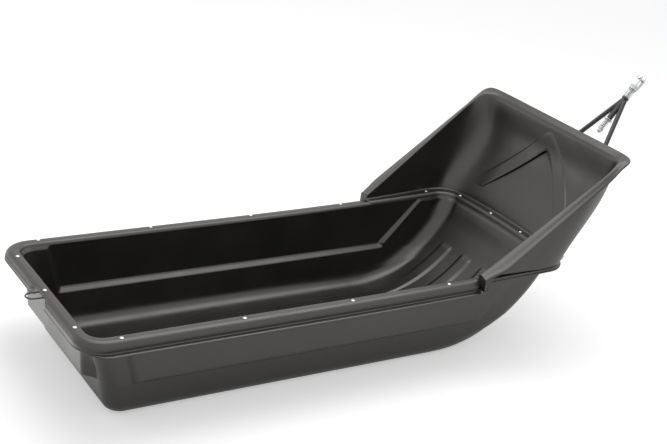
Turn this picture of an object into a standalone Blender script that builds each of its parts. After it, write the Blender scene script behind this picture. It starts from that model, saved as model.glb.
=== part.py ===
"""Drag sled: a formed tub with a framed rim, a snow deflector and a sprung V drawbar.

Metres, +Z up, +X towards the drawbar. The tub stands on Z = 0 and Y = 0 is its middle plane.
"""

import math

import bmesh
import bpy
from mathutils import Matrix, Vector

SHIFT_X = -0.3535  # puts the middle of the whole object's length at X = 0
SHEET = 0.004  # wall of the formed tub
GAP = 0.0003  # clearance between touching pieces
FLOOR = SHEET  # top of the floor
RIM_TOP = 0.3135  # top of the rim behind the middle
SHEER = 0.017  # the rim rises by this times x squared ahead of x = 0

# The tub's inner surface
FOOT_HALF = 0.2485
LEDGE_HALF = 0.3120
WALL_HALF = 0.3290
PANEL_LOW_HALF = 0.3309
PANEL_TOP_HALF = 0.3303
COVE = 0.053
LEDGE_LOW = 0.122
LEDGE_TOP = 0.1435
ABOVE_LEDGE = 0.166
MID_WALL = 0.222
WALL_TOP = 0.2970
BOW_X = 0.527  # where the floor starts to rise
BOW_RADIUS = 0.515
BOWING = 0.2  # the front stands back from its middle by this times y squared
REAR_FOOT = -0.656
REAR_LEDGE = -0.727
REAR_WALL = -0.788
REAR_PANEL = -0.7735
REAR_PANEL_HALF = 0.238

# The rim's section: out from the wall and up from the top behind the deflector, then under it
RIM_ROWS = (
    (0.0022, -0.0068, 0.0022, -0.0068),
    (0.0120, 0.0, 0.0120, 0.0),
    (0.0270, 0.0, 0.0270, 0.0),
    (0.0385, -0.0036, 0.0375, -0.0010),
    (0.0475, -0.0125, 0.0410, -0.0040),
    (0.0508, -0.0240, 0.0424, -0.0072),
    (0.0525, -0.0322, 0.0440, -0.0092),
    (0.0745, -0.0335, 0.0470, -0.0104),
)
RIM_EDGE = 0.0525  # what lies beyond this is the lip, which the rear rim lacks
BAND_FRONT = 0.92
BAND_REAR = 0.93
DROP_END = 0.600  # ahead of this the rim has no drop: the deflector stands there
DROP_FADE = 0.022
NOTCH = 0.0115  # the rear rim is pressed in by this round the tow loop

# Ridges pressed up in the floor, from the middle outwards: foot, top, top, foot
RIDGES = (0.0302, 0.0372, 0.0835, 0.0905, 0.1510, 0.1580, 0.2045, 0.2115)
RIDGE_TOPS = (2, 3, 6, 7)
RIDGE_HEIGHT = 0.013
RIDGE_START = -0.630

# Side panels pressed outwards: x of their slanted ends at the ledge and at the rim
PANEL_FRONT_LOW = 0.685
PANEL_FRONT_TOP = 0.838
PANEL_REAR_LOW = -0.646
PANEL_REAR_TOP = -0.689
PANEL_STEP = 0.014
PANEL_COLUMNS = range(2, 10)

# Rivets and the frame under the rim
RIVET_HALF = 0.355
RIVET_FRONT = 1.009
RIVET_REAR = -0.811
SIDE_RIVETS = (-0.706, -0.299, 0.098, 0.486, 0.885)
FRONT_RIVETS = (-0.274, -0.091, 0.091, 0.274)
REAR_RIVETS = (-0.253, 0.0, 0.253)
RIVET_HEAD = 0.0065
RIVET_SHANK = 0.0024
FRAME_RADIUS = 0.0095
FRAME_CORNER_FRONT = 0.075
FRAME_CORNER_REAR = 0.074
LOOP_RADIUS = 0.0205
LOOP_CENTRE = -0.8515
LOOP_WIRE = 0.0027

# The deflector
DEFLECTOR_REAR = 0.606
DEFLECTOR_SHEET = 0.0035
FOOT_FRONT = 1.031
FOOT_CORNER = 0.095
TOP_FRONT = 1.147
TOP_CORNER = 0.070
TOP_FRONT_Z = 0.711
OPENING_X = 0.5747  # its open edge lies in a plane that leaves the rim's level here
OPENING_SLOPE = 0.731
PRESSING_DEPTH = 0.014
TAB_Z = 0.2925  # its flange ends behind in a tab that reaches down beside the rim
TAB_INNER = 0.388
# The flange's width and rise round the corner of the opening, by heading from the side
FLANGE_CORNER = (
    (0, 0.0240, -0.0153),
    (20, 0.0310, -0.0010),
    (45, 0.0453, 0.0143),
    (65, 0.0355, 0.0217),
    (90, 0.0263, 0.0257),
)

# The drawbar, along its own axis from the pivot
PIVOT_X = 1.081
PIVOT_Z = 0.294
PIVOT_HALF = 0.234
DRAWBAR_REST = 50.8  # degrees above level
APEX = 0.660
LEG_RADIUS = 0.009
LEG_END = 0.644
EYE_RADIUS = 0.011
EYE_HALF = 0.0150
BUSH_RADIUS = 0.006
BOLT_RADIUS = 0.004
CHEEK = 0.004
SLEEVE_REAR = 0.551
SLEEVE_FRONT = 0.6507
SLEEVE_RADIUS = 0.0110
COLLAR_FRONT = 0.659
COLLAR_RADIUS = 0.0142
ROD_RADIUS = 0.006
ROD_REAR = 0.4865
NUT_REAR = 0.4903
WASHER_REAR = 0.5003
WASHER_THICK = 0.0027
WASHER_RADIUS = 0.0120
WIDE_WASHER_RADIUS = 0.0185
WASHER_FRONT = 0.6993
CLEVIS_REAR = 0.7023
CLEVIS_BASE = 0.716
CLEVIS_TIP = 0.766
CLEVIS_HALF = 0.015
CLEVIS_BAR = 0.005
CLEVIS_WIDTH = 0.024
PIN_AT = 0.751
PIN_RADIUS = 0.005
REAR_SPRING_RADIUS = 0.0108  # to the middle of the wire
FRONT_SPRING_RADIUS = 0.0128
SPRING_WIRE = 0.0014
CURL_POINTS = 9


def clear_scene():
    for obj in list(bpy.data.objects):
        bpy.data.objects.remove(obj, do_unlink=True)


def collection(name):
    found = bpy.data.collections.new(name)
    bpy.context.scene.collection.children.link(found)
    return found


def material(name, colour, roughness, metallic=0.0):
    made = bpy.data.materials.new(name)
    made.use_nodes = True
    shader = made.node_tree.nodes["Principled BSDF"]
    shader.inputs["Base Color"].default_value = (*colour, 1.0)
    shader.inputs["Roughness"].default_value = roughness
    shader.inputs["Metallic"].default_value = metallic
    return made


clear_scene()
PARTS = collection("drag_sled")
CUTTERS = collection("cutters")
BLACK_SHEET = material("black_polyethylene", (0.018, 0.018, 0.019), 0.38)
BLACK_PAINT = material("black_paint", (0.012, 0.012, 0.013), 0.35)
ZINC = material("bright_zinc", (0.72, 0.73, 0.74), 0.28, 1.0)
ALUMINIUM = material("rivet_aluminium", (0.82, 0.82, 0.83), 0.30, 1.0)
NYLON = material("nylon", (0.75, 0.74, 0.70), 0.45)


def empty(name, parent=None, location=(0.0, 0.0, 0.0), pitch=0.0):
    made = bpy.data.objects.new(name, None)
    made.location = location
    made.rotation_euler = (0.0, pitch, 0.0)
    made.parent = parent
    PARTS.objects.link(made)
    return made


def add_part(name, data, parent, finish, location=(0.0, 0.0, 0.0), rotation=(0.0, 0.0, 0.0)):
    made = bpy.data.objects.new(name, data)
    made.location = location
    made.rotation_euler = rotation
    made.parent = parent
    data.materials.clear()
    data.materials.append(finish)
    PARTS.objects.link(made)
    return made


def add_cutter(name, mesh, parent, location=(0.0, 0.0, 0.0), rotation=(0.0, 0.0, 0.0)):
    made = bpy.data.objects.new(name, mesh)
    made.location = location
    made.rotation_euler = rotation
    made.parent = parent
    made.hide_render = True
    made.display_type = "WIRE"
    CUTTERS.objects.link(made)
    return made


def cut(part, cutter):
    difference = part.modifiers.new("cut", "BOOLEAN")
    difference.operation = "DIFFERENCE"
    difference.object = cutter


def finish_mesh(name, work, sharp=35):
    mesh = bpy.data.meshes.new(name)
    work.to_mesh(mesh)
    work.free()
    mesh.shade_smooth()
    mesh.set_sharp_from_angle(angle=math.radians(sharp))
    return mesh


def cylinder(work, radius, start, end, axis="X", sides=16, at=(0.0, 0.0, 0.0)):
    """Adds a cylinder from start to end along one axis through a point."""
    matrix = Matrix.Translation((0.0, 0.0, (start + end) / 2))
    if axis == "X":
        matrix = Matrix.Rotation(math.pi / 2, 4, "Y") @ matrix
    if axis == "Y":
        matrix = Matrix.Rotation(-math.pi / 2, 4, "X") @ matrix
    bmesh.ops.create_cone(
        work,
        cap_ends=True,
        segments=sides,
        radius1=radius,
        radius2=radius,
        depth=end - start,
        matrix=Matrix.Translation(at) @ matrix,
    )


def cylinder_mesh(name, radius, start, end, axis="X", sides=16, at=(0.0, 0.0, 0.0)):
    work = bmesh.new()
    cylinder(work, radius, start, end, axis, sides, at)
    return finish_mesh(name, work)


def box_mesh(name, low, high):
    work = bmesh.new()
    size = [b - a for a, b in zip(low, high)]
    middle = [(a + b) / 2 for a, b in zip(low, high)]
    matrix = Matrix.Translation(middle) @ Matrix.Diagonal((*size, 1.0))
    bmesh.ops.create_cube(work, size=1.0, matrix=matrix)
    return finish_mesh(name, work)


def lathe_mesh(name, profile, sides=16):
    """Turns (radius, height) points, which start and end on the axis, about Z."""
    work = bmesh.new()
    rings = []
    for radius, height in profile:
        if radius == 0:
            rings.append([work.verts.new((0.0, 0.0, height))])
            continue
        angles = [2 * math.pi * k / sides for k in range(sides)]
        points = [(radius * math.cos(a), radius * math.sin(a), height) for a in angles]
        rings.append([work.verts.new(point) for point in points])
    for low, high in zip(rings[:-1], rings[1:]):
        for k in range(sides):
            corners = (low[k % len(low)], low[(k + 1) % len(low)])
            corners += (high[(k + 1) % len(high)], high[k % len(high)])
            work.faces.new(list(dict.fromkeys(corners)))
    bmesh.ops.recalc_face_normals(work, faces=work.faces)
    return finish_mesh(name, work)


def sweep_mesh(name, path, radius, sides=12, closed=False):
    """A round bar along a path that stays near the horizontal."""
    work = bmesh.new()
    rings = []
    count = len(path)
    for i, point in enumerate(path):
        after = path[(i + 1) % count] if closed or i + 1 < count else point
        before = path[i - 1] if closed or i else point
        along = (Vector(after) - Vector(before)).normalized()
        side = along.cross(Vector((0.0, 0.0, 1.0))).normalized()
        up = side.cross(along)
        ring = []
        for k in range(sides):
            angle = 2 * math.pi * (k + 0.5) / sides
            offset = side * math.cos(angle) + up * math.sin(angle)
            ring.append(work.verts.new(Vector(point) + offset * radius))
        rings.append(ring)
    pairs = list(zip(rings[:-1], rings[1:]))
    if closed:
        pairs.append((rings[-1], rings[0]))
    else:
        work.faces.new(rings[0])
        work.faces.new(rings[-1])
    for low, high in pairs:
        for k in range(sides):
            work.faces.new((low[k], low[(k + 1) % sides], high[(k + 1) % sides], high[k]))
    bmesh.ops.recalc_face_normals(work, faces=work.faces)
    return finish_mesh(name, work)


def tube_part(name, parent, finish, outer, inner, start, end, axis="X", y=0.0, sides=20):
    """A tube, washer or bush: a cylinder with a bore cut through it."""
    body = cylinder_mesh(name, outer, start, end, axis, sides)
    part = add_part(name, body, parent, finish, (0.0, y, 0.0))
    bore = cylinder_mesh(name + "_bore", inner, start - 0.01, end + 0.01, axis, 20)
    cut(part, add_cutter(name + "_bore", bore, parent, (0.0, y, 0.0)))
    return part


def sheer(x):
    return SHEER * max(x, 0.0) ** 2


def rim_z(x):
    return RIM_TOP + sheer(x)


def blend(a, b, t):
    return a + (b - a) * t


def smooth(t):
    t = min(max(t, 0.0), 1.0)
    return t * t * (3 - 2 * t)


def surface_mesh(name, grids, fans=()):
    """Quads over each grid of points and triangles over each fan, welded where they meet."""
    work = bmesh.new()
    for rows in grids:
        made = [[work.verts.new(point) for point in row] for row in rows]
        for low, high in zip(made[:-1], made[1:]):
            for i in range(len(low) - 1):
                work.faces.new((low[i], low[i + 1], high[i + 1], high[i]))
    for centre, arc in fans:
        middle = work.verts.new(centre)
        ends = [work.verts.new(point) for point in arc]
        for a, b in zip(ends[:-1], ends[1:]):
            work.faces.new((middle, b, a))
    bmesh.ops.remove_doubles(work, verts=work.verts, dist=0.00005)
    return finish_mesh(name, work, 30)


def mirror(part):
    half = part.modifiers.new("mirror", "MIRROR")
    half.use_axis = (False, True, False)
    half.use_clip = True
    half.merge_threshold = 0.0001


def thicken(part, thickness):
    solid = part.modifiers.new("thickness", "SOLIDIFY")
    solid.thickness = thickness
    solid.offset = 1.0
    solid.use_even_offset = True


# Sled shell

FRONT_ARC_STEPS = 7
REAR_ARC_STEPS = 5


def bow(degrees):
    angle = math.radians(degrees)
    return (
        BOW_X + BOW_RADIUS * math.sin(angle),
        FLOOR + BOW_RADIUS * (1 - math.cos(angle)),
    )


def wall_levels():
    """Contours up the inside: half width, height, front (x, z), rear x and the corner radii."""
    levels = [(FOOT_HALF, FLOOR, bow(0), REAR_FOOT, 0.030, 0.030)]
    coves = ((19, 9, 0.044), (38, 18, 0.046), (57, 27, 0.048), (76, 34, 0.051))
    for step, (turn, rise, corner) in enumerate(coves, 1):
        out = COVE * math.sin(math.radians(turn))
        up = FLOOR + COVE * (1 - math.cos(math.radians(turn)))
        rear = REAR_FOOT - out
        levels.append((FOOT_HALF + out, up, bow(rise), rear, corner, 0.030 + 0.005 * step))
    levels.append((LEDGE_HALF, LEDGE_LOW, bow(40), REAR_LEDGE, 0.055, 0.054))
    heights = ((LEDGE_TOP, 46.5, 0.057), (ABOVE_LEDGE, 49.5, 0.059), (MID_WALL, 56, 0.060))
    for height, rise, corner in heights:
        part = (height - LEDGE_LOW) / (WALL_TOP - LEDGE_LOW)
        half = blend(LEDGE_HALF, WALL_HALF, part)
        rear = blend(REAR_LEDGE, REAR_WALL, part)
        levels.append((half, height, bow(rise), rear, corner, 0.058))
    levels.append((WALL_HALF, WALL_TOP, (bow(64.6)[0], WALL_TOP), REAR_WALL, 0.056, 0.060))
    return levels


def side_columns(height, low_x, high_x):
    """x of the columns between the ends of a side, from the front corner back to the rear one."""
    part = min(max((height - LEDGE_TOP) / (WALL_TOP - LEDGE_TOP), 0.0), 1.0)
    front_end = min(blend(PANEL_FRONT_LOW, PANEL_FRONT_TOP, part), high_x - 0.006)
    rear_end = max(blend(PANEL_REAR_LOW, PANEL_REAR_TOP, part), low_x + 0.006)
    fade = min(DROP_END + DROP_FADE, front_end - PANEL_STEP - 0.006)
    drop_end = min(DROP_END, fade - 0.006)
    columns = [front_end, front_end - PANEL_STEP, fade, drop_end]
    inner_rear = rear_end + PANEL_STEP
    columns += [blend(drop_end, inner_rear, step / 5) for step in range(1, 6)]
    return columns + [rear_end]


def contour(half, side_z, front, rear_x, corners, share=None, rim=None):
    """Half of one contour, from the middle of the front round to the middle of the rear."""
    front_x, front_z = front
    front_corner, rear_corner = corners
    lip = max(rim[0] - RIM_EDGE, 0.0) if rim else 0.0
    front_half = half - front_corner + (rim[2] - rim[0] if rim else 0.0)
    rear_half = half - rear_corner - lip
    points = []
    for j, y in enumerate((0.0, *RIDGES)):
        x, z = front_x, front_z
        if not rim and front_z < bow(47)[1] and j in RIDGE_TOPS:
            lean = math.asin((front_x - BOW_X) / BOW_RADIUS)
            x -= RIDGE_HEIGHT * math.sin(lean)
            z += RIDGE_HEIGHT * math.cos(lean)
        points.append(Vector((x, y, z)))
    for step in range(FRONT_ARC_STEPS + 1):
        turn = math.pi / 2 * step / FRONT_ARC_STEPS
        x = front_x - front_corner * (1 - math.cos(turn))
        y = front_half + front_corner * math.sin(turn)
        points.append(Vector((x, y, blend(front_z, side_z, smooth(step / FRONT_ARC_STEPS)))))
    columns = side_columns(side_z, rear_x + rear_corner, front_x - front_corner - 0.02)
    for j, x in enumerate(columns, 1):
        wide = half
        if share is not None and j in PANEL_COLUMNS:
            wide = blend(PANEL_LOW_HALF, PANEL_TOP_HALF, share)
        if rim:
            wide += (rim[2] - rim[0]) * smooth((x - DROP_END) / DROP_FADE)
        points.append(Vector((x, wide, side_z)))
    for step in range(REAR_ARC_STEPS + 1):
        turn = math.pi / 2 * step / REAR_ARC_STEPS
        x = rear_x + rear_corner * (1 - math.sin(turn))
        out = rear_corner + lip * math.cos(turn) ** 3
        points.append(Vector((x, rear_half + out * math.cos(turn), side_z)))
    fit = REAR_PANEL_HALF / RIDGES[-1] if rim or share is not None else 1.0
    wall_x = rear_x if share is None else blend(REAR_PANEL, REAR_WALL, share)
    points += [Vector((wall_x, y * fit, side_z)) for y in reversed((0.0, *RIDGES))]
    for point in points[: 10 + FRONT_ARC_STEPS]:
        point.x -= BOWING * point.y**2 * smooth(point.z / LEDGE_LOW)
    for point in points:
        point.z += sheer(point.x) * (point.z - FLOOR) / (RIM_TOP - FLOOR)
        if rim:
            point.z += blend(rim[1], rim[3], smooth((point.x - DROP_END) / DROP_FADE))
    return points


def rim_contour(rim):
    """One contour of the rim, with the notch pressed in round the tow loop."""
    front = (wall_levels()[-1][2][0] + BAND_FRONT * rim[2], RIM_TOP)
    rear = REAR_WALL - BAND_REAR * min(rim[0], RIM_EDGE)
    corners = (0.056 + 0.6 * rim[2], 0.050 + 0.8 * min(rim[0], RIM_EDGE))
    points = contour(WALL_HALF + rim[0], RIM_TOP, front, rear, corners, None, rim)
    for point in points:
        if point.x < REAR_WALL:
            press = 1 - smooth((abs(point.y) - 0.036) / 0.030)
            depth = (min(rim[0], RIM_EDGE) - 0.030) / (RIM_EDGE - 0.030)
            point.x += NOTCH * press * max(depth, 0.0) ** 2.3
    return points


def shell_rows():
    rows = []
    for half, height, front, rear, *corners in wall_levels():
        share = None
        if height > LEDGE_LOW + 0.001:
            share = (height - LEDGE_TOP) / (WALL_TOP - LEDGE_TOP)
        rows.append(contour(half, height, front, rear, corners, share))
    rows += [rim_contour(row) for row in RIM_ROWS]
    return rows


def floor_patch(foot):
    """The floor inside the lowest contour: ridged strips, an edge strip and two corner fans."""
    first = 9
    last = first + FRONT_ARC_STEPS + 11
    sides = foot[first + FRONT_ARC_STEPS : last + 1]
    middle = foot[first].y
    rows = []
    for x in [foot[-1].x, *[p.x for p in reversed(sides)], foot[0].x]:
        raised = RIDGE_HEIGHT * smooth((x - RIDGE_START) / 0.03)
        heights = [raised if j in RIDGE_TOPS else 0.0 for j in range(10)]
        ys = (0.0, *RIDGES, middle)
        rows.append([Vector((x, y, FLOOR + rise)) for y, rise in zip(ys, heights)])
    edge = [[Vector((p.x, middle, FLOOR)), p.copy()] for p in reversed(sides)]
    front_fan = (Vector((sides[0].x, middle, FLOOR)), foot[first : first + FRONT_ARC_STEPS + 1])
    rear_fan = (Vector((sides[-1].x, middle, FLOOR)), foot[last : last + REAR_ARC_STEPS + 1])
    return [rows, edge], [front_fan, rear_fan]


def sled_shell(frame):
    rows = shell_rows()
    grids, fans = floor_patch(rows[0])
    mesh = surface_mesh("sled_shell", [rows, *grids], fans)
    part = add_part("sled_shell", mesh, frame, BLACK_SHEET)
    mirror(part)
    thicken(part, SHEET)
    return part


# Snow deflector


def opening_z(x):
    return RIM_TOP + SHEET + OPENING_SLOPE * (x - OPENING_X)


def foot_half(x):
    return 0.3603 + 0.052 * (x - 0.625)


def top_half(x):
    return 0.3603 + 0.0775 * (x - 0.610)


def deflector_columns():
    """Plan points of the foot, the opening and its outer edge, from the middle to the rear end."""
    foot_y = foot_half(FOOT_FRONT - FOOT_CORNER) - FOOT_CORNER
    top_y = top_half(TOP_FRONT - TOP_CORNER) - TOP_CORNER
    columns = []
    for step in range(8):
        part = step / 8
        foot = Vector((FOOT_FRONT, foot_y * part))
        top = Vector((TOP_FRONT, top_y * part, TOP_FRONT_Z))
        columns.append((foot, top, 90))
    for step in range(8):
        turn = 90 - 90 * step / 7
        out = Vector((math.sin(math.radians(turn)), math.cos(math.radians(turn))))
        foot = Vector((FOOT_FRONT - FOOT_CORNER, foot_y)) + out * FOOT_CORNER
        top = Vector((TOP_FRONT - TOP_CORNER, top_y)) + out * TOP_CORNER
        height = blend(opening_z(top.x), TOP_FRONT_Z, smooth(turn / 90))
        columns.append((foot, Vector((*top, height)), turn))
    for part in (0.12, 0.24, 0.36, 0.48, 0.60, 0.72, 0.84, 0.93, 0.965, 1.0):
        foot_x = blend(FOOT_FRONT - FOOT_CORNER, DEFLECTOR_REAR, part)
        top_x = blend(TOP_FRONT - TOP_CORNER, DEFLECTOR_REAR, part)
        top = Vector((top_x, top_half(top_x), opening_z(top_x)))
        columns.append((Vector((foot_x, foot_half(foot_x))), top, 0))
    return columns


def flange(x, turn):
    """How wide the flange is, and how far it rises over that width."""
    if turn:
        for (low, *near), (high, *far) in zip(FLANGE_CORNER[:-1], FLANGE_CORNER[1:]):
            if turn <= high:
                part = (turn - low) / (high - low)
                return [blend(a, b, part) for a, b in zip(near, far)]
    behind = smooth((x - DEFLECTOR_REAR) / 0.08)
    return blend(0.401, 0.4205, behind) - top_half(x), blend(-0.006, -0.0155, behind)


def deflector_column(foot, top, turn):
    """One column of the deflector, from its inner foot edge up over the flange of its opening."""
    out = Vector((math.sin(math.radians(turn)), math.cos(math.radians(turn)), 0.0))
    if foot.x > FOOT_FRONT - FOOT_CORNER - 0.001:
        foot.x -= BOWING * foot.y**2
    base = Vector((*foot, rim_z(foot.x) + DEFLECTOR_SHEET + GAP))
    inward = blend(0.028, 0.040, smooth(turn / 60))
    points = [base - out * inward, base - out * 0.006]
    for point in points:
        point.z += rim_z(point.x) - rim_z(base.x)
    points.append(base - out * 0.0015 + Vector((0.0, 0.0, 0.0015)))
    start = base + Vector((0.0, 0.0, 0.006))
    points.append(start)
    tall = top.z - start.z
    inner_z = 0.627 - 1.1 * math.hypot(foot.y, 0.013)
    outer_z = 0.700 - 1.07 * math.hypot(foot.y, 0.0136)
    inner = min(max((inner_z - start.z) / tall, 0.24), 0.8)
    outer = min(max((outer_z - start.z) / tall, inner + 0.09), 0.92)
    strength = PRESSING_DEPTH * smooth((inner_z - start.z) / 0.05)
    shares = [inner / 3, 2 * inner / 3, inner, outer]
    shares += [blend(outer, 1.0, step / 4) for step in range(1, 5)]
    ahead = smooth(turn / 90)
    for share in shares:
        bulge = math.sin(math.pi / 2 * min(share / 0.8, 1.0)) ** 1.3
        point = start.lerp(top, share)
        point.x = blend(start.x, top.x, blend(share, bulge, ahead))
        if share <= inner:
            point += out * strength * smooth(share * tall / 0.16)
        points.append(point)
    wide, fall = flange(top.x, turn)
    for across, rise in ((0.12, 0.0022), (0.30, 0.002), (0.92, 0.0), (1.0, -0.003)):
        points.append(top + out * wide * across + Vector((0.0, 0.0, fall * across + rise)))
    points.append(points[-1] + Vector((0.0, 0.0, -0.004)))
    if not turn:
        points[-1].z = blend(TAB_Z, points[-1].z, smooth((top.x - DEFLECTOR_REAR - 0.012) / 0.018))
    return points


def tab_end(column):
    """Closes the flange's rear end: the last column again, brought down to the rim beside it."""
    points = []
    for point in column:
        low = TAB_Z if point.y > TAB_INNER else rim_z(DEFLECTOR_REAR) + 3 * GAP
        points.append(Vector((point.x, point.y, min(low, point.z))))
    return points


def snow_deflector(frame):
    columns = [deflector_column(*column) for column in deflector_columns()]
    columns.append(tab_end(columns[-1]))
    rows = [list(row) for row in zip(*columns)]
    part = add_part("snow_deflector", surface_mesh("snow_deflector", [rows]), frame, BLACK_SHEET)
    mirror(part)
    thicken(part, DEFLECTOR_SHEET)
    return part


# Frame, rivets and tow loop


def frame_z(x):
    return rim_z(x) - SHEET - GAP - FRAME_RADIUS


def frame_path():
    """The tube's middle line, from the middle of the front round and back."""
    half = []
    front = RIVET_FRONT - FRAME_CORNER_FRONT
    inner = RIVET_HALF - FRAME_CORNER_FRONT
    half += [(RIVET_FRONT, inner * step / 4) for step in range(1, 4)]
    for step in range(9):
        turn = math.pi / 2 * step / 8
        x = front + FRAME_CORNER_FRONT * math.cos(turn)
        half.append((x, inner + FRAME_CORNER_FRONT * math.sin(turn)))
    rear = RIVET_REAR + FRAME_CORNER_REAR
    half += [(blend(front, rear, step / 8), RIVET_HALF) for step in range(1, 8)]
    inner = RIVET_HALF - FRAME_CORNER_REAR
    for step in range(7):
        turn = math.pi / 2 * step / 6
        x = rear - FRAME_CORNER_REAR * math.sin(turn)
        half.append((x, inner + FRAME_CORNER_REAR * math.cos(turn)))
    loop = [(RIVET_FRONT, 0.0), *half, (RIVET_REAR, 0.0)]
    loop += [(x, -y) for x, y in reversed(half)]
    loop = [(x - BOWING * y * y if x > front - 0.001 else x, y) for x, y in loop]
    return [(x, y, frame_z(x)) for x, y in loop]


def rim_frame(frame):
    mesh = sweep_mesh("rim_frame", frame_path(), FRAME_RADIUS, 10, closed=True)
    return add_part("rim_frame", mesh, frame, BLACK_PAINT)


def rivet_places():
    """Name, x, y and whether the rivet also holds the deflector's foot."""
    places = []
    for i, x in enumerate(SIDE_RIVETS, 1):
        places.append((f"rivet_near_{i}", x, -RIVET_HALF, x > DROP_END))
        places.append((f"rivet_far_{i}", x, RIVET_HALF, x > DROP_END))
    for i, y in enumerate(FRONT_RIVETS, 1):
        places.append((f"rivet_front_{i}", RIVET_FRONT - BOWING * y * y, y, True))
    places += [(f"rivet_rear_{i}", RIVET_REAR, y, False) for i, y in enumerate(REAR_RIVETS, 1)]
    return places


def rivet_tilt(x):
    return -math.atan(2 * SHEER * max(x, 0.0))


def rivets(frame):
    for name, x, y, deflector in rivet_places():
        lift = GAP + (DEFLECTOR_SHEET + GAP if deflector else 0.0)
        foot = -(SHEET + 2 * GAP + 2 * FRAME_RADIUS + lift)
        profile = (
            (0.0, 0.0027),
            (0.0045, 0.0019),
            (RIVET_HEAD, 0.0004),
            (RIVET_HEAD, 0.0),
            (RIVET_SHANK, 0.0),
            (RIVET_SHANK, foot),
            (0.0038, foot - GAP),
            (0.0034, foot - 0.0035),
            (0.0, foot - 0.0035),
        )
        place = (x, y, rim_z(x) + lift)
        mesh = lathe_mesh(name, profile, 10)
        add_part(name, mesh, frame, ALUMINIUM, place, (0.0, rivet_tilt(x), 0.0))


def rivet_holes(frame, parts):
    work = bmesh.new()
    for _, x, y, _ in rivet_places():
        matrix = Matrix.Translation((x, y, rim_z(x))) @ Matrix.Rotation(rivet_tilt(x), 4, "Y")
        bmesh.ops.create_cone(
            work,
            cap_ends=True,
            segments=8,
            radius1=RIVET_SHANK + GAP,
            radius2=RIVET_SHANK + GAP,
            depth=0.08,
            matrix=matrix,
        )
    holes = add_cutter("rivet_holes", finish_mesh("rivet_holes", work), frame)
    for part in parts:
        cut(part, holes)


def rear_tow_loop(frame, shell):
    """A bent rod ring, welded to the frame, that stands out through a slot in the rear rim."""
    height = frame_z(0.0)
    weld = RIVET_REAR - FRAME_RADIUS - GAP
    path = [(weld, LOOP_RADIUS, height)]
    for step in range(13):
        turn = math.pi * step / 12
        x = LOOP_CENTRE - LOOP_RADIUS * math.sin(turn)
        path.append((x, LOOP_RADIUS * math.cos(turn), height))
    path.append((weld, -LOOP_RADIUS, height))
    mesh = sweep_mesh("rear_tow_loop", path, LOOP_WIRE, 10)
    add_part("rear_tow_loop", mesh, frame, BLACK_PAINT)
    low = (-0.862, -0.026, height - 0.0040)
    slot = box_mesh("loop_slot", low, (-0.814, 0.026, height + 0.0040))
    cut(shell, add_cutter("loop_slot", slot, frame))


# Hitch brackets and pivots


def hitch_lug(name, frame, side):
    """A channel bracket welded to the frame tube, open at the front for the drawbar's eye."""
    y = side * PIVOT_HALF
    wide = EYE_HALF + GAP + CHEEK
    weld = RIVET_FRONT - BOWING * (PIVOT_HALF - wide) ** 2 + FRAME_RADIUS + GAP
    outline = [(weld, 0.3065), (weld, 0.3165), (1.044, 0.3165)]
    for step in range(7):
        turn = math.radians(65 - 180 * step / 6)
        x = PIVOT_X + 0.012 * math.cos(turn)
        outline.append((x, PIVOT_Z + 0.012 * math.sin(turn)))
    outline.append((1.030, 0.296))
    work = bmesh.new()
    near = [work.verts.new((x, y - wide, z)) for x, z in outline]
    far = [work.verts.new((x, y + wide, z)) for x, z in outline]
    work.faces.new(near)
    work.faces.new(far)
    for i in range(len(outline)):
        j = (i + 1) % len(outline)
        work.faces.new((near[i], near[j], far[j], far[i]))
    bmesh.ops.recalc_face_normals(work, faces=work.faces)
    part = add_part(name, finish_mesh(name, work), frame, BLACK_PAINT)
    clear = EYE_HALF + GAP
    slot = box_mesh(name + "_slot", (1.030, y - clear, 0.25), (1.12, y + clear, 0.35))
    cut(part, add_cutter(name + "_slot", slot, frame))
    hole = cylinder_mesh(name + "_hole", BOLT_RADIUS + GAP, -0.03, 0.03, "Y", 16)
    cut(part, add_cutter(name + "_hole", hole, frame, (PIVOT_X, y, PIVOT_Z)))


def pivot_bolt(name, frame, side):
    """Head outside, nut inside; both stay with the bracket."""
    wide = EYE_HALF + 2 * GAP + CHEEK
    profile = (
        (0.0, wide + 0.0053),
        (0.0068, wide + 0.0053),
        (0.0075, wide + 0.0046),
        (0.0075, wide),
        (BOLT_RADIUS, wide),
        (BOLT_RADIUS, -wide - 0.0085),
        (BOLT_RADIUS - 0.0006, -wide - 0.0092),
        (0.0, -wide - 0.0092),
    )
    turn = (-math.pi / 2 * side, 0.0, 0.0)
    place = (PIVOT_X, side * PIVOT_HALF, PIVOT_Z)
    add_part(f"pivot_bolt_{name}", lathe_mesh(f"pivot_bolt_{name}", profile, 18), frame, ZINC,
             place, turn)
    nut = cylinder_mesh(f"pivot_nut_{name}", 0.0075, -wide - 0.0068, -wide, "Z", 6)
    part = add_part(f"pivot_nut_{name}", nut, frame, ZINC, place, turn)
    bore = cylinder_mesh(f"pivot_nut_{name}_bore", BOLT_RADIUS + GAP, -0.04, 0.0, "Z", 16)
    cut(part, add_cutter(f"pivot_nut_{name}_bore", bore, frame, place, turn))


# Drawbar, modelled along +X from the pivot line


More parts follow.
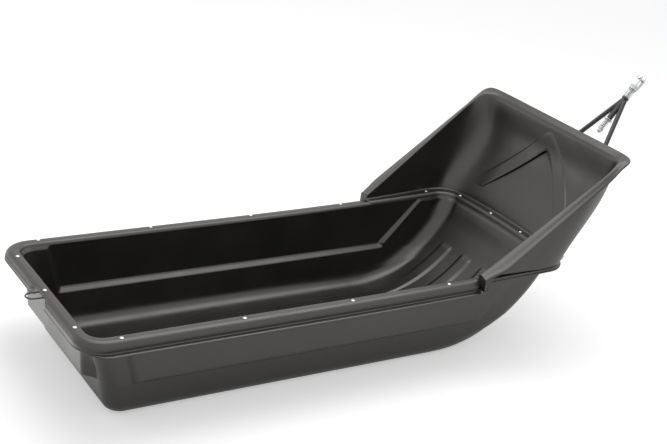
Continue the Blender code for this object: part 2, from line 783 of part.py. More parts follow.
def drawbar_side(name, drawbar, side):
    """One side of the V: a welded eye with a nylon bush, and the leg up to the sleeve."""
    y = side * PIVOT_HALF
    eye = f"drawbar_eye_{name}"
    tube_part(eye, drawbar, BLACK_PAINT, EYE_RADIUS, BUSH_RADIUS + GAP, -EYE_HALF, EYE_HALF, "Y", y)
    bush = f"pivot_bush_{name}"
    tube_part(bush, drawbar, NYLON, BUSH_RADIUS, BOLT_RADIUS + GAP, -EYE_HALF, EYE_HALF, "Y", y)
    start = Vector((0.0, y, 0.0))
    along = Vector((APEX, -y, 0.0)).normalized()
    length = LEG_END / along.x
    leg_name = f"drawbar_leg_{name}"
    path = [start, start + along * length]
    leg = add_part(leg_name, sweep_mesh(leg_name, path, LEG_RADIUS, 14), drawbar, BLACK_PAINT)
    clear = cylinder_mesh(leg_name + "_eye", EYE_RADIUS + GAP, -0.02, 0.02, "Y", 20, (0, y, 0))
    cut(leg, add_cutter(leg_name + "_eye", clear, drawbar))
    seat = cylinder_mesh(leg_name + "_seat", SLEEVE_RADIUS + GAP, 0.56, 0.70, "X", 20)
    cut(leg, add_cutter(leg_name + "_seat", seat, drawbar))


def drawbar_head(drawbar):
    """The sleeve that the legs are welded to, and the collar at its front."""
    bore = ROD_RADIUS + GAP
    finish = BLACK_PAINT
    tube_part("drawbar_sleeve", drawbar, finish, SLEEVE_RADIUS, bore, SLEEVE_REAR, SLEEVE_FRONT)
    start = SLEEVE_FRONT + GAP
    tube_part("drawbar_collar", drawbar, finish, COLLAR_RADIUS, bore, start, COLLAR_FRONT, sides=24)
    end = SLEEVE_REAR - GAP
    tube_part("sleeve_washer", drawbar, ZINC, WIDE_WASHER_RADIUS, bore, end - WASHER_THICK, end,
              sides=24)


def spring(name, parent, radius, start, end, turns):
    """A wound spring as one tube, its ends straight where they meet their seats."""
    tail = 2 * SPRING_WIRE
    steps = round(turns * CURL_POINTS)
    points = [(start, radius, 0.0)]
    for k in range(steps + 1):
        angle = 2 * math.pi * k / CURL_POINTS
        x = blend(start + tail, end - tail, k / steps)
        points.append((x, radius * math.cos(angle), radius * math.sin(angle)))
    points.append((end, points[-1][1], points[-1][2]))
    curve = bpy.data.curves.new(name, "CURVE")
    curve.dimensions = "3D"
    line = curve.splines.new("POLY")
    line.points.add(len(points) - 1)
    for target, point in zip(line.points, points):
        target.co = (*point, 1.0)
    curve.bevel_depth = SPRING_WIRE
    curve.bevel_resolution = 1
    curve.render_resolution_u = 0
    curve.use_fill_caps = True
    pitch = (end - start - 2 * tail) / turns
    print(f"{name}: {turns} curls, least gap to itself {(pitch - 2 * SPRING_WIRE) * 1000:.2f} mm")
    return add_part(name, curve, parent, ZINC)


def tow_rod(rod):
    """The rod through the sleeve, its lock nut and the clevis fork screwed on its front."""
    add_part("tow_rod", cylinder_mesh("tow_rod", ROD_RADIUS, ROD_REAR, 0.712, "X", 20), rod, ZINC)
    nut = cylinder_mesh("lock_nut", 0.0105, NUT_REAR, WASHER_REAR - GAP, "X", 6)
    part = add_part("lock_nut", nut, rod, ZINC)
    bore = cylinder_mesh("lock_nut_bore", ROD_RADIUS + GAP, 0.48, 0.51, "X", 20)
    cut(part, add_cutter("lock_nut_bore", bore, rod))


def clevis_fork(rod):
    half = CLEVIS_WIDTH / 2
    low = (CLEVIS_REAR, -half, -CLEVIS_HALF)
    part = add_part("clevis_fork", box_mesh("clevis_fork", low, (CLEVIS_TIP, half, CLEVIS_HALF)),
                    rod, ZINC)
    inner = CLEVIS_HALF - CLEVIS_BAR
    mouth = box_mesh("clevis_mouth", (CLEVIS_BASE, -0.03, -inner), (0.80, 0.03, inner))
    cut(part, add_cutter("clevis_mouth", mouth, rod))
    socket = cylinder_mesh("clevis_socket", ROD_RADIUS + GAP, 0.69, 0.7123, "X", 20)
    cut(part, add_cutter("clevis_socket", socket, rod))
    hole = cylinder_mesh("clevis_hole", PIN_RADIUS + GAP, -0.03, 0.03, "Z", 20, (PIN_AT, 0, 0))
    cut(part, add_cutter("clevis_hole", hole, rod))


def clevis_pin(pin):
    """The hitch pin with its head on top and a cross hole for the clip."""
    top = CLEVIS_HALF + GAP
    profile = (
        (0.0, top + 0.0045),
        (0.0072, top + 0.0045),
        (0.0082, top + 0.0035),
        (0.0082, top),
        (PIN_RADIUS, top),
        (PIN_RADIUS, -CLEVIS_HALF - 0.0080),
        (PIN_RADIUS - 0.0012, -CLEVIS_HALF - 0.0092),
        (0.0, -CLEVIS_HALF - 0.0092),
    )
    part = add_part("clevis_pin", lathe_mesh("clevis_pin", profile, 20), pin, ZINC)
    hole = cylinder_mesh("clip_hole", 0.0013, -0.01, 0.01, "X", 12, (0, 0, -CLEVIS_HALF - 0.004))
    cut(part, add_cutter("clip_hole", hole, pin))


def pin_clip(clip):
    """A hairpin clip: one straight leg through the pin and one bent round it."""
    path = [(-0.013, 0.0), (0.009, 0.0), (0.014, 0.0012), (0.0165, 0.0045), (0.014, 0.0078)]
    path += [(0.009, 0.0078), (0.0045, 0.0068), (0.0, 0.0064), (-0.005, 0.0068), (-0.009, 0.0085)]
    points = [(x, y, 0.0) for x, y in path]
    mesh = sweep_mesh("pin_clip", points, 0.0009, 8)
    add_part("pin_clip", mesh, clip, ZINC)


def drawbar(frame):
    pivot = empty("drawbar_pivot", frame, (PIVOT_X, 0.0, PIVOT_Z), -math.radians(DRAWBAR_REST))
    for name, side in (("near", -1), ("far", 1)):
        drawbar_side(name, pivot, side)
    drawbar_head(pivot)
    damper = empty("damper_slide", pivot)
    bore = ROD_RADIUS + GAP
    for name, radius, start in (
        ("rear_washer", WASHER_RADIUS, WASHER_REAR),
        ("front_washer", WIDE_WASHER_RADIUS, WASHER_FRONT),
    ):
        tube_part(name, damper, ZINC, radius, bore, start, start + WASHER_THICK, sides=24)
    seat = SLEEVE_REAR - WASHER_THICK - 2 * GAP
    spring("rear_spring", pivot, REAR_SPRING_RADIUS, WASHER_REAR + WASHER_THICK + GAP, seat, 6.0)
    spring("front_spring", pivot, FRONT_SPRING_RADIUS, COLLAR_FRONT + GAP, WASHER_FRONT - GAP, 5.5)
    rod = empty("rod_swivel", damper)
    tow_rod(rod)
    clevis_fork(rod)
    pin = empty("pin_axis", rod, (PIN_AT, 0.0, 0.0))
    clevis_pin(pin)
    pin_clip(empty("clip_slide", pin, (0.0, 0.0, -CLEVIS_HALF - 0.004)))


def main():
    frame = empty("sled_origin", None, (SHIFT_X, 0.0, 0.0))
    shell = sled_shell(frame)
    deflector = snow_deflector(frame)
    tube = rim_frame(frame)
    rivets(frame)
    rivet_holes(frame, (shell, deflector, tube))
    rear_tow_loop(frame, shell)
    for name, side in (("near", -1), ("far", 1)):
        hitch_lug(f"hitch_lug_{name}", frame, side)
        pivot_bolt(name, frame, side)
    drawbar(frame)


main()
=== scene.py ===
from math import acos, asin, atan, atan2, cos, hypot, pi, radians, sin, sqrt

import bmesh
import bpy
from mathutils import Matrix, Vector


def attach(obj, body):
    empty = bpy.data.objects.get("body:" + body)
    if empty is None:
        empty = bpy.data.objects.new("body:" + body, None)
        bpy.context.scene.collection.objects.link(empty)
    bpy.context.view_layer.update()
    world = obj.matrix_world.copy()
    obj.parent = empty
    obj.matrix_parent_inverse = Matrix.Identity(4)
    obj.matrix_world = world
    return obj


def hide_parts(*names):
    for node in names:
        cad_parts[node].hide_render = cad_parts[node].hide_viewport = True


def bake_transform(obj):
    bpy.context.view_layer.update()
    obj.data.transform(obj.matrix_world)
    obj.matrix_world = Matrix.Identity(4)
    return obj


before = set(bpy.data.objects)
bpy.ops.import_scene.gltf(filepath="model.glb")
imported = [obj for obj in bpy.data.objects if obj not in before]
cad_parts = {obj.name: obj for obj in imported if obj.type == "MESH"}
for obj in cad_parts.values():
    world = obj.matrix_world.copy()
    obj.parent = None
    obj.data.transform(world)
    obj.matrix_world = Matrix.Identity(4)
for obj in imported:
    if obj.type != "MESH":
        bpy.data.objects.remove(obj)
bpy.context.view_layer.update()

# Camera and studio. The camera stands where the photograph was taken from, behind the sled's
# near rear corner and above it; the stage is a white floor under a white surround.
CAMERA_AT = (-2.4834, -3.4420, 2.1747)
TURN, DROP, ROLL = radians(34.35), radians(22.76), radians(7.79)
FOCAL_LENGTH, PICTURE_WIDTH = 1306, 667  # both in pixels
FILM_WIDTH = 36.0
WHITE = (1.0, 1.0, 1.0, 1.0)
FLOOR_GAP = 0.0015  # the floor lies this far below the sled
# The floor's painted pool of light: its middle, and the radii where its glow starts and ends fading.
PAINTED_POOL_AT, PAINTED_POOL_INNER, PAINTED_POOL_OUTER = (-1.60, 0.25, 0.0), 0.20, 0.75
look = Vector((sin(TURN) * cos(DROP), cos(TURN) * cos(DROP), -sin(DROP)))
level = Vector((cos(TURN), -sin(TURN), 0.0))
upright = level.cross(look)
right = cos(ROLL) * level + sin(ROLL) * upright
up = -sin(ROLL) * level + cos(ROLL) * upright
camera_data = bpy.data.cameras.new("camera")
camera_data.sensor_width = FILM_WIDTH
camera_data.lens = FOCAL_LENGTH / PICTURE_WIDTH * FILM_WIDTH
camera_data.clip_end = 60.0
camera = bpy.data.objects.new("camera", camera_data)
camera_place = Matrix((right, up, -look)).transposed().to_4x4()
camera_place.translation = CAMERA_AT
camera.matrix_world = camera_place
bpy.context.scene.collection.objects.link(camera)
bpy.context.scene.camera = camera
bpy.context.scene.view_settings.view_transform = "Standard"


def preset(node, values):
    for socket, value in values.items():
        node.inputs[socket].default_value = value


def wire(tree, *wires):
    """Joins nodes; each wire is a node and its output, then a node and its input."""
    for start, given, end, taken in wires:
        tree.links.new(start.outputs[given], end.inputs[taken])


world = bpy.data.worlds.new("studio")
bpy.context.scene.world = world
world.use_nodes = True
surround, add = world.node_tree.nodes["Background"], world.node_tree.nodes.new
rays, seen, strength = add("ShaderNodeLightPath"), add("ShaderNodeMath"), add("ShaderNodeMapRange")
seen.operation = "MAXIMUM"
preset(surround, {"Color": WHITE})
preset(strength, {"To Min": 0.55, "To Max": 1.0})
wire(
    world.node_tree,
    (rays, "Is Camera Ray", seen, 0),
    (rays, "Is Glossy Ray", seen, 1),
    (seen, 0, strength, "Value"),
    (strength, "Result", surround, "Strength"),
)


def lamp(name, size, power, at, towards):
    data = bpy.data.lights.new(name, "AREA")
    data.shape = "RECTANGLE"
    data.size, data.size_y = size
    data.energy = power
    lit = bpy.data.objects.new(name, data)
    lit.location = at
    lit.rotation_euler = (Vector(towards) - Vector(at)).to_track_quat("-Z", "Y").to_euler()
    bpy.context.scene.collection.objects.link(lit)


lamp("overhead_box", (3.6, 2.4), 50, (0.4, 0.5, 3.2), (0.2, 0.1, 0.2))
lamp("far_side_box", (3.0, 1.0), 7, (-3.0, 3.4, 0.5), (-0.8, 0.0, 0.2))
floor_mesh = bpy.data.meshes.new("floor")
floor_build = bmesh.new()
bmesh.ops.create_grid(floor_build, x_segments=1, y_segments=1, size=30.0)
floor_build.to_mesh(floor_mesh)
floor_build.free()
floor = bpy.data.objects.new("floor", floor_mesh)
bpy.context.scene.collection.objects.link(floor)
floor.location.z = -FLOOR_GAP
floor_paint = bpy.data.materials.new("floor_white")
floor_paint.use_nodes = True
matt, add = floor_paint.node_tree.nodes["Principled BSDF"], floor_paint.node_tree.nodes.new
preset(matt, {"Base Color": (0.92, 0.92, 0.92, 1.0), "Roughness": 0.9, "Specular IOR Level": 0.1})
preset(matt, {"Emission Color": WHITE})
rays, glow = add("ShaderNodeLightPath"), add("ShaderNodeMapRange")
preset(glow, {"To Min": 0.15, "To Max": 0.42})
# A painted pool of light on the floor behind the sled: no lamp lights it, the floor glows there
# for glossy rays only, so it shows only as a painted reflection in the sled's rear wall.
where, away = add("ShaderNodeTexCoord"), add("ShaderNodeVectorMath")
pool, total = add("ShaderNodeMapRange"), add("ShaderNodeMath")
away.operation, total.operation = "DISTANCE", "MULTIPLY_ADD"
away.inputs[1].default_value = PAINTED_POOL_AT
pool.interpolation_type = "SMOOTHSTEP"
preset(pool, {"From Min": PAINTED_POOL_INNER, "From Max": PAINTED_POOL_OUTER, "To Min": 1.2, "To Max": 0.0})
wire(
    floor_paint.node_tree,
    (rays, "Is Camera Ray", glow, "Value"),
    (where, "Object", away, 0),
    (away, "Value", pool, "Value"),
    (pool, "Result", total, 0),
    (rays, "Is Glossy Ray", total, 1),
    (glow, "Result", total, 2),
    (total, 0, matt, "Emission Strength"),
)
floor_mesh.materials.append(floor_paint)

# Sled shell: one sheet of black polyethylene, 4 mm thick, drawn down into a tub. Its rim is
# rolled over a steel tube; panels are pressed out of its sides and its rear, and four ridges
# up from its floor.
SHIFT = -0.3535  # the sled's own zero lies this far behind the middle of the whole object
SHEET = 0.004
RIM_TOP, WALL_TOP, FLOOR_TOP = 0.3135, 0.297, 0.004
FLOOR_HALF, FLOOR_REAR, REAR_WALL = 0.2485, -0.656, -0.788
SHEER = 0.017  # the sled rises to the front by this times x squared
BOW_X, BOW_RADIUS, BOW_END = 0.527, 0.515, 64.6  # the floor rises from here, round to this angle
BOW_CURVE, BOW_FULL = 0.2, 0.122  # it falls back by this times y squared, in full from this height
BOW_UPPER = 0.222  # above this, the front of each level line eases up to the rim's level
COVE, COVE_TURN, COVE_TOP = 0.053, 76, 0.0442  # the fillet between the floor and the walls
CORNER_FROM, CORNER_OVER = 0.235, 0.06  # here the front corners change to plain arcs
PANEL_FRONT, PANEL_REAR = (0.685, 0.838), (-0.646, -0.689)  # slanted ends: at the ledge, at the rim
PANEL_FROM, PANEL_LOW = 0.113, 0.1435  # they are worked into the level lines from the first height
PANEL_HALF, PANEL_STEP = (0.3309, 0.3303), 0.015
REAR_PANEL, REAR_PANEL_HALF = (-0.7735, REAR_WALL), 0.238
LEDGE, LEDGE_RISE = 0.1255, 0.0145  # where the side panels' lower edge steps out
RIDGES = ((0.0337, 0.0870), (0.1545, 0.2080))
RIDGE_HEIGHT, RIDGE_FLANK = 0.004, 0.009
RIDGE_REAR, RIDGE_END = (-0.630, 0.03), (44.6, 2.6)  # fades: along the floor, and up the bow
RIM_FOOT, RIM_FLAT = 0.3290, 0.0270  # half the rim's inner width, and the end of its flat top
ROLL_WIDE, ROLL_DEEP = 0.0140, 0.0150  # its inner roll
OUTER_WIDE, OUTER_DEEP = 0.0238, 0.0250  # its outer roll behind the deflector
LIP_START = 0.0525  # what stands out further than this fades out round the rear corners
NOTCH_HALF, NOTCH_FADE, NOTCH_DEEP, NOTCH_START = 0.036, 0.030, 0.0115, 0.030
DROP_END, DROP_FADE = 0.600, 0.022  # ahead of this the rim has no drop
FRONT_STEPS, REAR_STEPS = 14, 12


def mix(a, b, t):
    return a + (b - a) * t


def ease(t):
    t = min(max(t, 0.0), 1.0)
    return t * t * (3 - 2 * t)


def arc(turn, steps, first=0):
    """(cosine, sine) at even steps through a turn, in degrees."""
    angles = [radians(turn * k / steps) for k in range(first, steps + 1)]
    return [(cos(angle), sin(angle)) for angle in angles]


def rounded_step(s, low, high):
    """Rises from 0 to 1 as s does; low and high round its two corners."""
    if s <= -low:
        return 0.0
    if s < low:
        return (s + low) ** 2 / (4 * low)
    if s < 1 - high:
        return s
    if s < 1 + high:
        return 1 - (1 + high - s) ** 2 / (4 * high)
    return 1.0


def between(value, knots):
    """Straight lines through (value, result) knots."""
    for (a, low), (b, high) in zip(knots[:-1], knots[1:]):
        if value <= b:
            return mix(low, high, (value - a) / (b - a))
    return knots[-1][1]


def sheer(x):
    return SHEER * max(x, 0.0) ** 2


def bow(degrees):
    angle = radians(degrees)
    return BOW_X + BOW_RADIUS * sin(angle), FLOOR_TOP + BOW_RADIUS * (1 - cos(angle))


def ridge(y):
    rise = 0.0
    for edges in RIDGES:
        up, down = [rounded_step((y - edge) / RIDGE_FLANK + 0.5, 0.4, 0.4) for edge in edges]
        rise += up - down
    return RIDGE_HEIGHT * rise


MIDDLE = [0.0, 0.010, 0.020, 0.100, 0.113, 0.127, 0.141]  # columns out to the last ridge
for low, high in RIDGES:
    MIDDLE += [edge + 0.0019 * k for edge in (low, high) for k in range(-5, 6)]
    MIDDLE += [mix(low, high, k / 7) for k in range(1, 7)]
MIDDLE = sorted(round(y, 5) for y in MIDDLE)
ENDS = (0.2, 0.4, 0.6, 0.8)  # columns between the last ridge and the corner


def side_stations(low, high, height):
    """x down one side, from the front corner to the rear one, close together at every bend."""
    past, least, run = 0.006, 0.010, 0.026
    part = min(max((height - PANEL_LOW) / (WALL_TOP - PANEL_LOW), 0.0), 1.0)
    front = min(mix(*PANEL_FRONT, part) + past, high - 2 * past)
    drop = min(DROP_END + DROP_FADE + past / 2, front - run - least)
    drop_end = min(DROP_END - past / 2, drop - least)
    rear_end = max(mix(*PANEL_REAR, part) - past, low + past)
    stations = []
    for a, b, steps in (
        (high, front, 6),
        (front, front - run, 10),
        (front - run, drop, 3),
        (drop, drop_end, 9),
        (drop_end, rear_end + run, 16),
        (rear_end + run, rear_end, 9),
        (rear_end, low, 4),
    ):
        stations += [mix(a, b, k / steps) for k in range(1, steps + 1)]
    return stations[:-1]


def front_points(half, height, front, front_half, corner, plain):
    """A level line's front: over the ridges, then round the corner. A plain one has no ridges."""
    front_x, front_z, degrees = front
    points = []
    for y in [*MIDDLE, *[mix(MIDDLE[-1], front_half, k) for k in ENDS]]:
        rise = 0.0 if plain else ridge(y) * (1 - ease((degrees - RIDGE_END[0]) / RIDGE_END[1]))
        x = front_x - rise * sin(radians(degrees))
        points.append(Vector((x, y, front_z + rise * cos(radians(degrees)))))
    sweep = asin(min((half - front_half) / COVE, 1.0))
    for step, (cosine, sine) in enumerate(arc(90, FRONT_STEPS)):
        part = step / FRONT_STEPS
        z = mix(front_z, height, ease(part))
        at = Vector((front_x - corner * (1 - cosine), front_half + corner * sine))
        if not plain:
            rolled = BOW_RADIUS - COVE + COVE * cos(sweep * part)
            lean = acos(min((FLOOR_TOP + BOW_RADIUS - z) / rolled, 1.0))
            y = half + COVE * (sin(sweep * part) - sin(sweep))
            in_cove = Vector((BOW_X + rolled * sin(lean), y))
            at = in_cove.lerp(at, ease((height - CORNER_FROM) / CORNER_OVER))
        points.append(Vector((*at, z)))
    return points


def contour(half, height, front, rear_x, corners, wall=False, rim=None, wrap=90):
    """Half a level line of the tub, from the middle of the front round to the middle of the rear."""
    front_corner, rear_corner = corners
    spread = rim[2] - rim[0] if rim else 0.0
    lip = max(rim[0] - LIP_START, 0.0) if rim else 0.0
    front_half = half - (front_corner - spread if rim else COVE * sin(radians(wrap)))
    rear_half = half - rear_corner - lip
    points = front_points(half, height, front, front_half, front_corner, bool(rim))
    ahead = len(points)
    part = (height - PANEL_LOW) / (WALL_TOP - PANEL_LOW)
    stand = mix(*PANEL_HALF, part) - half
    part = max(part, 0.0)
    step_up = rounded_step((height - LEDGE) / LEDGE_RISE, 0.16, 0.34)
    set_back = BOW_CURVE * points[-1].y ** 2 * ease(height / BOW_FULL)
    for x in side_stations(rear_x + rear_corner, points[-1].x - set_back, height):
        wide = half
        if wall:
            ends = rounded_step((mix(*PANEL_FRONT, part) - x) / PANEL_STEP, 0.3, 0.3)
            ends *= rounded_step((x - mix(*PANEL_REAR, part)) / PANEL_STEP, 0.3, 0.3)
            wide += stand * step_up * ends
        wide += spread * ease((x - DROP_END) / DROP_FADE)
        points.append(Vector((x, wide, height)))
    for cosine, sine in arc(90, REAR_STEPS):
        out = rear_corner + lip * cosine**3
        points.append(Vector((rear_x + rear_corner * (1 - sine), rear_half + out * cosine, height)))
    fit = REAR_PANEL_HALF / MIDDLE[-1] if rim or wall else 1.0
    columns = [mix(rear_half, MIDDLE[-1] * fit, 1 - k) for k in reversed(ENDS)]
    for y in [*columns, *[y * fit for y in reversed(MIDDLE)]]:
        x = rear_x
        if wall:
            pressed = rounded_step((rear_half - y) / (rear_half - REAR_PANEL_HALF), 0.3, 0.3)
            x += (mix(*REAR_PANEL, part) - rear_x) * step_up * pressed
        points.append(Vector((x, y, height)))
    for point in points[:ahead]:
        point.x -= BOW_CURVE * point.y**2 * ease(point.z / BOW_FULL)
    for point in points:
        point.z += sheer(point.x) * (point.z - FLOOR_TOP) / (RIM_TOP - FLOOR_TOP)
        if rim:
            point.z += mix(rim[1], rim[3], ease((point.x - DROP_END) / DROP_FADE))
    return points


def tub_lines():
    lines = []
    for turn in [*range(0, 20, 2), *range(20, COVE_TURN + 1, 4)]:
        out = COVE * sin(radians(turn))
        height = FLOOR_TOP + COVE * (1 - cos(radians(turn)))
        degrees = between(turn, ((0, 0), (57, 27), (COVE_TURN, 34)))
        corners = (mix(0.030, 0.051, turn / COVE_TURN), mix(0.030, 0.050, turn / COVE_TURN))
        front = (*bow(degrees), degrees)
        lines.append(contour(FLOOR_HALF + out, height, front, FLOOR_REAR - out, corners, wrap=turn))
    heights = [0.055, 0.070, 0.085, 0.100, 0.112, 0.120]
    heights += [LEDGE + LEDGE_RISE * s for s in (-0.25, -0.12, 0, 0.12, 0.25, 0.42, 0.6, 0.75, 0.88)]
    heights += [LEDGE + LEDGE_RISE * s for s in (0.94, 1.0, 1.06, 1.12, 1.2, 1.4, 1.7)]
    heights += [0.168, 0.185, 0.205, 0.225, 0.245, 0.265, 0.280, 0.290, WALL_TOP]
    angles = ((COVE_TOP, 34), (BOW_FULL, 40), (PANEL_LOW, 46.5), (0.166, 49.5), (BOW_UPPER, 56))
    halves = ((COVE_TOP, 0.2999), (BOW_FULL, 0.3120), (WALL_TOP, 0.3205))
    rears = ((COVE_TOP, -0.7074), (BOW_FULL, -0.727), (WALL_TOP, REAR_WALL))
    front_corners = ((COVE_TOP, 0.051), (BOW_FULL, 0.055), (BOW_UPPER, 0.060), (WALL_TOP, 0.056))
    rear_corners = ((COVE_TOP, 0.050), (BOW_FULL, 0.054), (0.166, 0.058), (WALL_TOP, 0.060))
    for height in heights:
        degrees = between(height, (*angles, (WALL_TOP, BOW_END)))
        front_z = mix(bow(degrees)[1], WALL_TOP, ease((height - BOW_UPPER) / (WALL_TOP - BOW_UPPER)))
        front = (bow(degrees)[0], front_z, degrees)
        corners = (between(height, front_corners), between(height, rear_corners))
        half, rear_x = between(height, halves), between(height, rears)
        lines.append(contour(half, height, front, rear_x, corners, wall=height > PANEL_FROM))
    return lines


def rim_section():
    """Out from the wall and up from the rim's top: behind the deflector, then under it."""
    rows = []
    for cosine, sine in arc(90, 8, 1):
        out, rise = ROLL_WIDE * (1 - cosine), ROLL_DEEP * (sine - 1)
        rows.append((out, rise, out, rise))
    rows += [(out, 0.0, out, 0.0) for out in (0.0185, 0.0230, RIM_FLAT)]
    for cosine, sine in arc(90, 11, 1):
        behind = (RIM_FLAT + OUTER_WIDE * sine, -OUTER_DEEP * (1 - cosine))
        under = (RIM_FLAT + 0.0148 * sine, -0.0060 * (1 - cosine) ** 1.3)
        rows.append((*behind, *under))
    return [
        *rows,
        (0.0510, -0.0285, 0.0419, -0.0072),
        (0.0512, -0.0308, 0.0421, -0.0082),
        (0.0518, -0.0322, 0.0425, -0.0091),
        (0.0530, -0.0329, 0.0432, -0.0097),
        (0.0560, -0.0331, 0.0442, -0.0100),
        (0.0650, -0.0333, 0.0456, -0.0102),
        (0.0745, -0.0335, 0.0470, -0.0104),
    ]


def rim_line(rim):
    front = (bow(BOW_END)[0] + 0.92 * rim[2], RIM_TOP, 0)
    kept = min(rim[0], LIP_START)
    corners = (0.056 + 0.6 * rim[2], 0.050 + 0.8 * kept)
    line = contour(RIM_FOOT + rim[0], RIM_TOP, front, REAR_WALL - 0.93 * kept, corners, rim=rim)
    for point in line:
        if point.x < REAR_WALL:
            press = 1 - ease((abs(point.y) - NOTCH_HALF) / NOTCH_FADE)
            press *= max((kept - NOTCH_START) / (LIP_START - NOTCH_START), 0.0) ** 2.3
            point.x += NOTCH_DEEP * press
    return line


def floor_inside(foot):
    """The floor within the lowest line: a ridged grid, an edge strip and the corners' fans."""
    across = len(MIDDLE) + len(ENDS)
    side = foot[across + FRONT_STEPS : -across - REAR_STEPS]
    inner = foot[across].y
    ys = [*[point.y for point in foot[:across]], inner]
    grid = []
    for x in [foot[-1].x, *[point.x for point in reversed(side)], foot[0].x]:
        start = ease((x - RIDGE_REAR[0]) / RIDGE_REAR[1])
        grid.append([Vector((x, y, FLOOR_TOP + ridge(y) * start)) for y in ys])
    edge = [[Vector((point.x, inner, FLOOR_TOP)), point.copy()] for point in reversed(side)]
    front = (Vector((side[0].x, inner, FLOOR_TOP)), foot[across : across + FRONT_STEPS + 1])
    rear = (Vector((side[-1].x, inner, FLOOR_TOP)), foot[-across - REAR_STEPS - 1 : -across])
    return [grid, edge], [front, rear]


def sheet_object(name, grids, fans, thickness):
    """Half a formed sheet, mirrored across the middle and thickened away from its inside."""
    work = bmesh.new()
    for rows in grids:
        made = [[work.verts.new(point) for point in row] for row in rows]
        for low, high in zip(made[:-1], made[1:]):
            for i in range(len(low) - 1):
                work.faces.new((low[i], low[i + 1], high[i + 1], high[i]))
    for centre, outer in fans:
        middle = work.verts.new(centre)
        ends = [work.verts.new(point) for point in outer]
        for a, b in zip(ends[:-1], ends[1:]):
            work.faces.new((middle, b, a))
    bmesh.ops.remove_doubles(work, verts=work.verts, dist=0.00005)
    mesh = bpy.data.meshes.new(name)
    work.to_mesh(mesh)
    work.free()
    mesh.shade_smooth()
    made = bpy.data.objects.new(name, mesh)
    bpy.context.scene.collection.objects.link(made)
    made.location.x = SHIFT
    half = made.modifiers.new("mirror", "MIRROR")
    half.use_axis = (False, True, False)
    half.use_clip = True
    half.merge_threshold = 0.0001
    solid = made.modifiers.new("thickness", "SOLIDIFY")
    solid.thickness = thickness
    solid.offset = 1.0
    return made


def surface_finish():
    """Group: slow colour patches, a fine grain to bump with, and a roughness that follows both."""
    group = bpy.data.node_groups.new("surface_finish", "ShaderNodeTree")
    for name, kind, value in (
        ("Colour", "NodeSocketColor", (0.5, 0.5, 0.5, 1.0)),
        ("Patch Colour", "NodeSocketColor", (0.5, 0.5, 0.5, 1.0)),
        ("Roughness", "NodeSocketFloat", 0.4),
        ("Roughness Spread", "NodeSocketFloat", 0.1),
        ("Patch Scale", "NodeSocketFloat", 6.0),
        ("Grain Scale", "NodeSocketFloat", 900.0),
    ):
        socket = group.interface.new_socket(name, in_out="INPUT", socket_type=kind)
        socket.default_value = value
    for name, kind in (("Colour", "Color"), ("Roughness", "Float"), ("Height", "Float")):
        group.interface.new_socket(name, in_out="OUTPUT", socket_type=f"NodeSocket{kind}")
    add = group.nodes.new
    given, made, where = add("NodeGroupInput"), add("NodeGroupOutput"), add("ShaderNodeTexCoord")
    patches, grain = add("ShaderNodeTexNoise"), add("ShaderNodeTexNoise")
    spread, tint = add("ShaderNodeMapRange"), add("ShaderNodeMix")
    both, rough = add("ShaderNodeMath"), add("ShaderNodeMath")
    preset(patches, {"Detail": 5.0})
    preset(grain, {"Detail": 3.0})
    preset(spread, {"From Min": 0.35, "From Max": 0.65})
    tint.data_type = "RGBA"
    both.operation, rough.operation = "ADD", "MULTIPLY_ADD"
    wire(
        group,
        (where, "Object", patches, "Vector"),
        (given, "Patch Scale", patches, "Scale"),
        (where, "Object", grain, "Vector"),
        (given, "Grain Scale", grain, "Scale"),
        (patches, "Fac", spread, "Value"),
        (spread, "Result", tint, "Factor"),
        (given, "Colour", tint, "A"),
        (given, "Patch Colour", tint, "B"),
        (tint, "Result", made, "Colour"),
        (spread, "Result", both, 0),
        (grain, "Fac", both, 1),
        (both, 0, rough, 0),
        (given, "Roughness Spread", rough, 1),
        (given, "Roughness", rough, 2),
        (rough, 0, made, "Roughness"),
        (grain, "Fac", made, "Height"),
    )
    return group


surface = surface_finish()


def finished(name, colours, roughness, scales, bump, **constants):
    """A material whose colour, roughness and grain come from the group, the rest from its shader."""
    paint = bpy.data.materials.new(name)
    paint.use_nodes = True
    nodes = paint.node_tree.nodes
    shader, finish = nodes["Principled BSDF"], nodes.new("ShaderNodeGroup")
    relief = nodes.new("ShaderNodeBump")
    finish.node_tree = surface
    preset(shader, {socket.replace("_", " "): value for socket, value in constants.items()})
    preset(finish, {"Colour": (*colours[0], 1.0), "Patch Colour": (*colours[1], 1.0)})
    preset(finish, {"Roughness": roughness[0], "Roughness Spread": roughness[1]})
    preset(finish, {"Patch Scale": scales[0], "Grain Scale": scales[1]})
    preset(relief, {"Strength": bump[0], "Distance": bump[1]})
    wire(
        paint.node_tree,
        (finish, "Colour", shader, "Base Color"),
        (finish, "Roughness", shader, "Roughness"),
        (finish, "Height", relief, "Height"),
        (relief, "Normal", shader, "Normal"),
    )
    return paint


def fit(piece, paint, slot, body, *nodes):
    piece.data.materials.append(paint)
    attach(piece, body)
    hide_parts(*nodes)


plastic = finished(
    "formed_black_plastic",
    colours=((0.0030, 0.0028, 0.0026), (0.0052, 0.0048, 0.0044)),
    roughness=(0.26, 0.08),
    scales=(7.0, 420.0),
    bump=(0.25, 0.0003),
    Specular_IOR_Level=1.0,
    Specular_Tint=(1.0, 0.975, 0.945, 1.0),
)
lines = tub_lines()
grids, fans = floor_inside(lines[0])
lines += [rim_line(rim) for rim in rim_section()]
fit(sheet_object("tub", [lines, *grids], fans, SHEET), plastic, "plastic", "sled", "sled_shell")

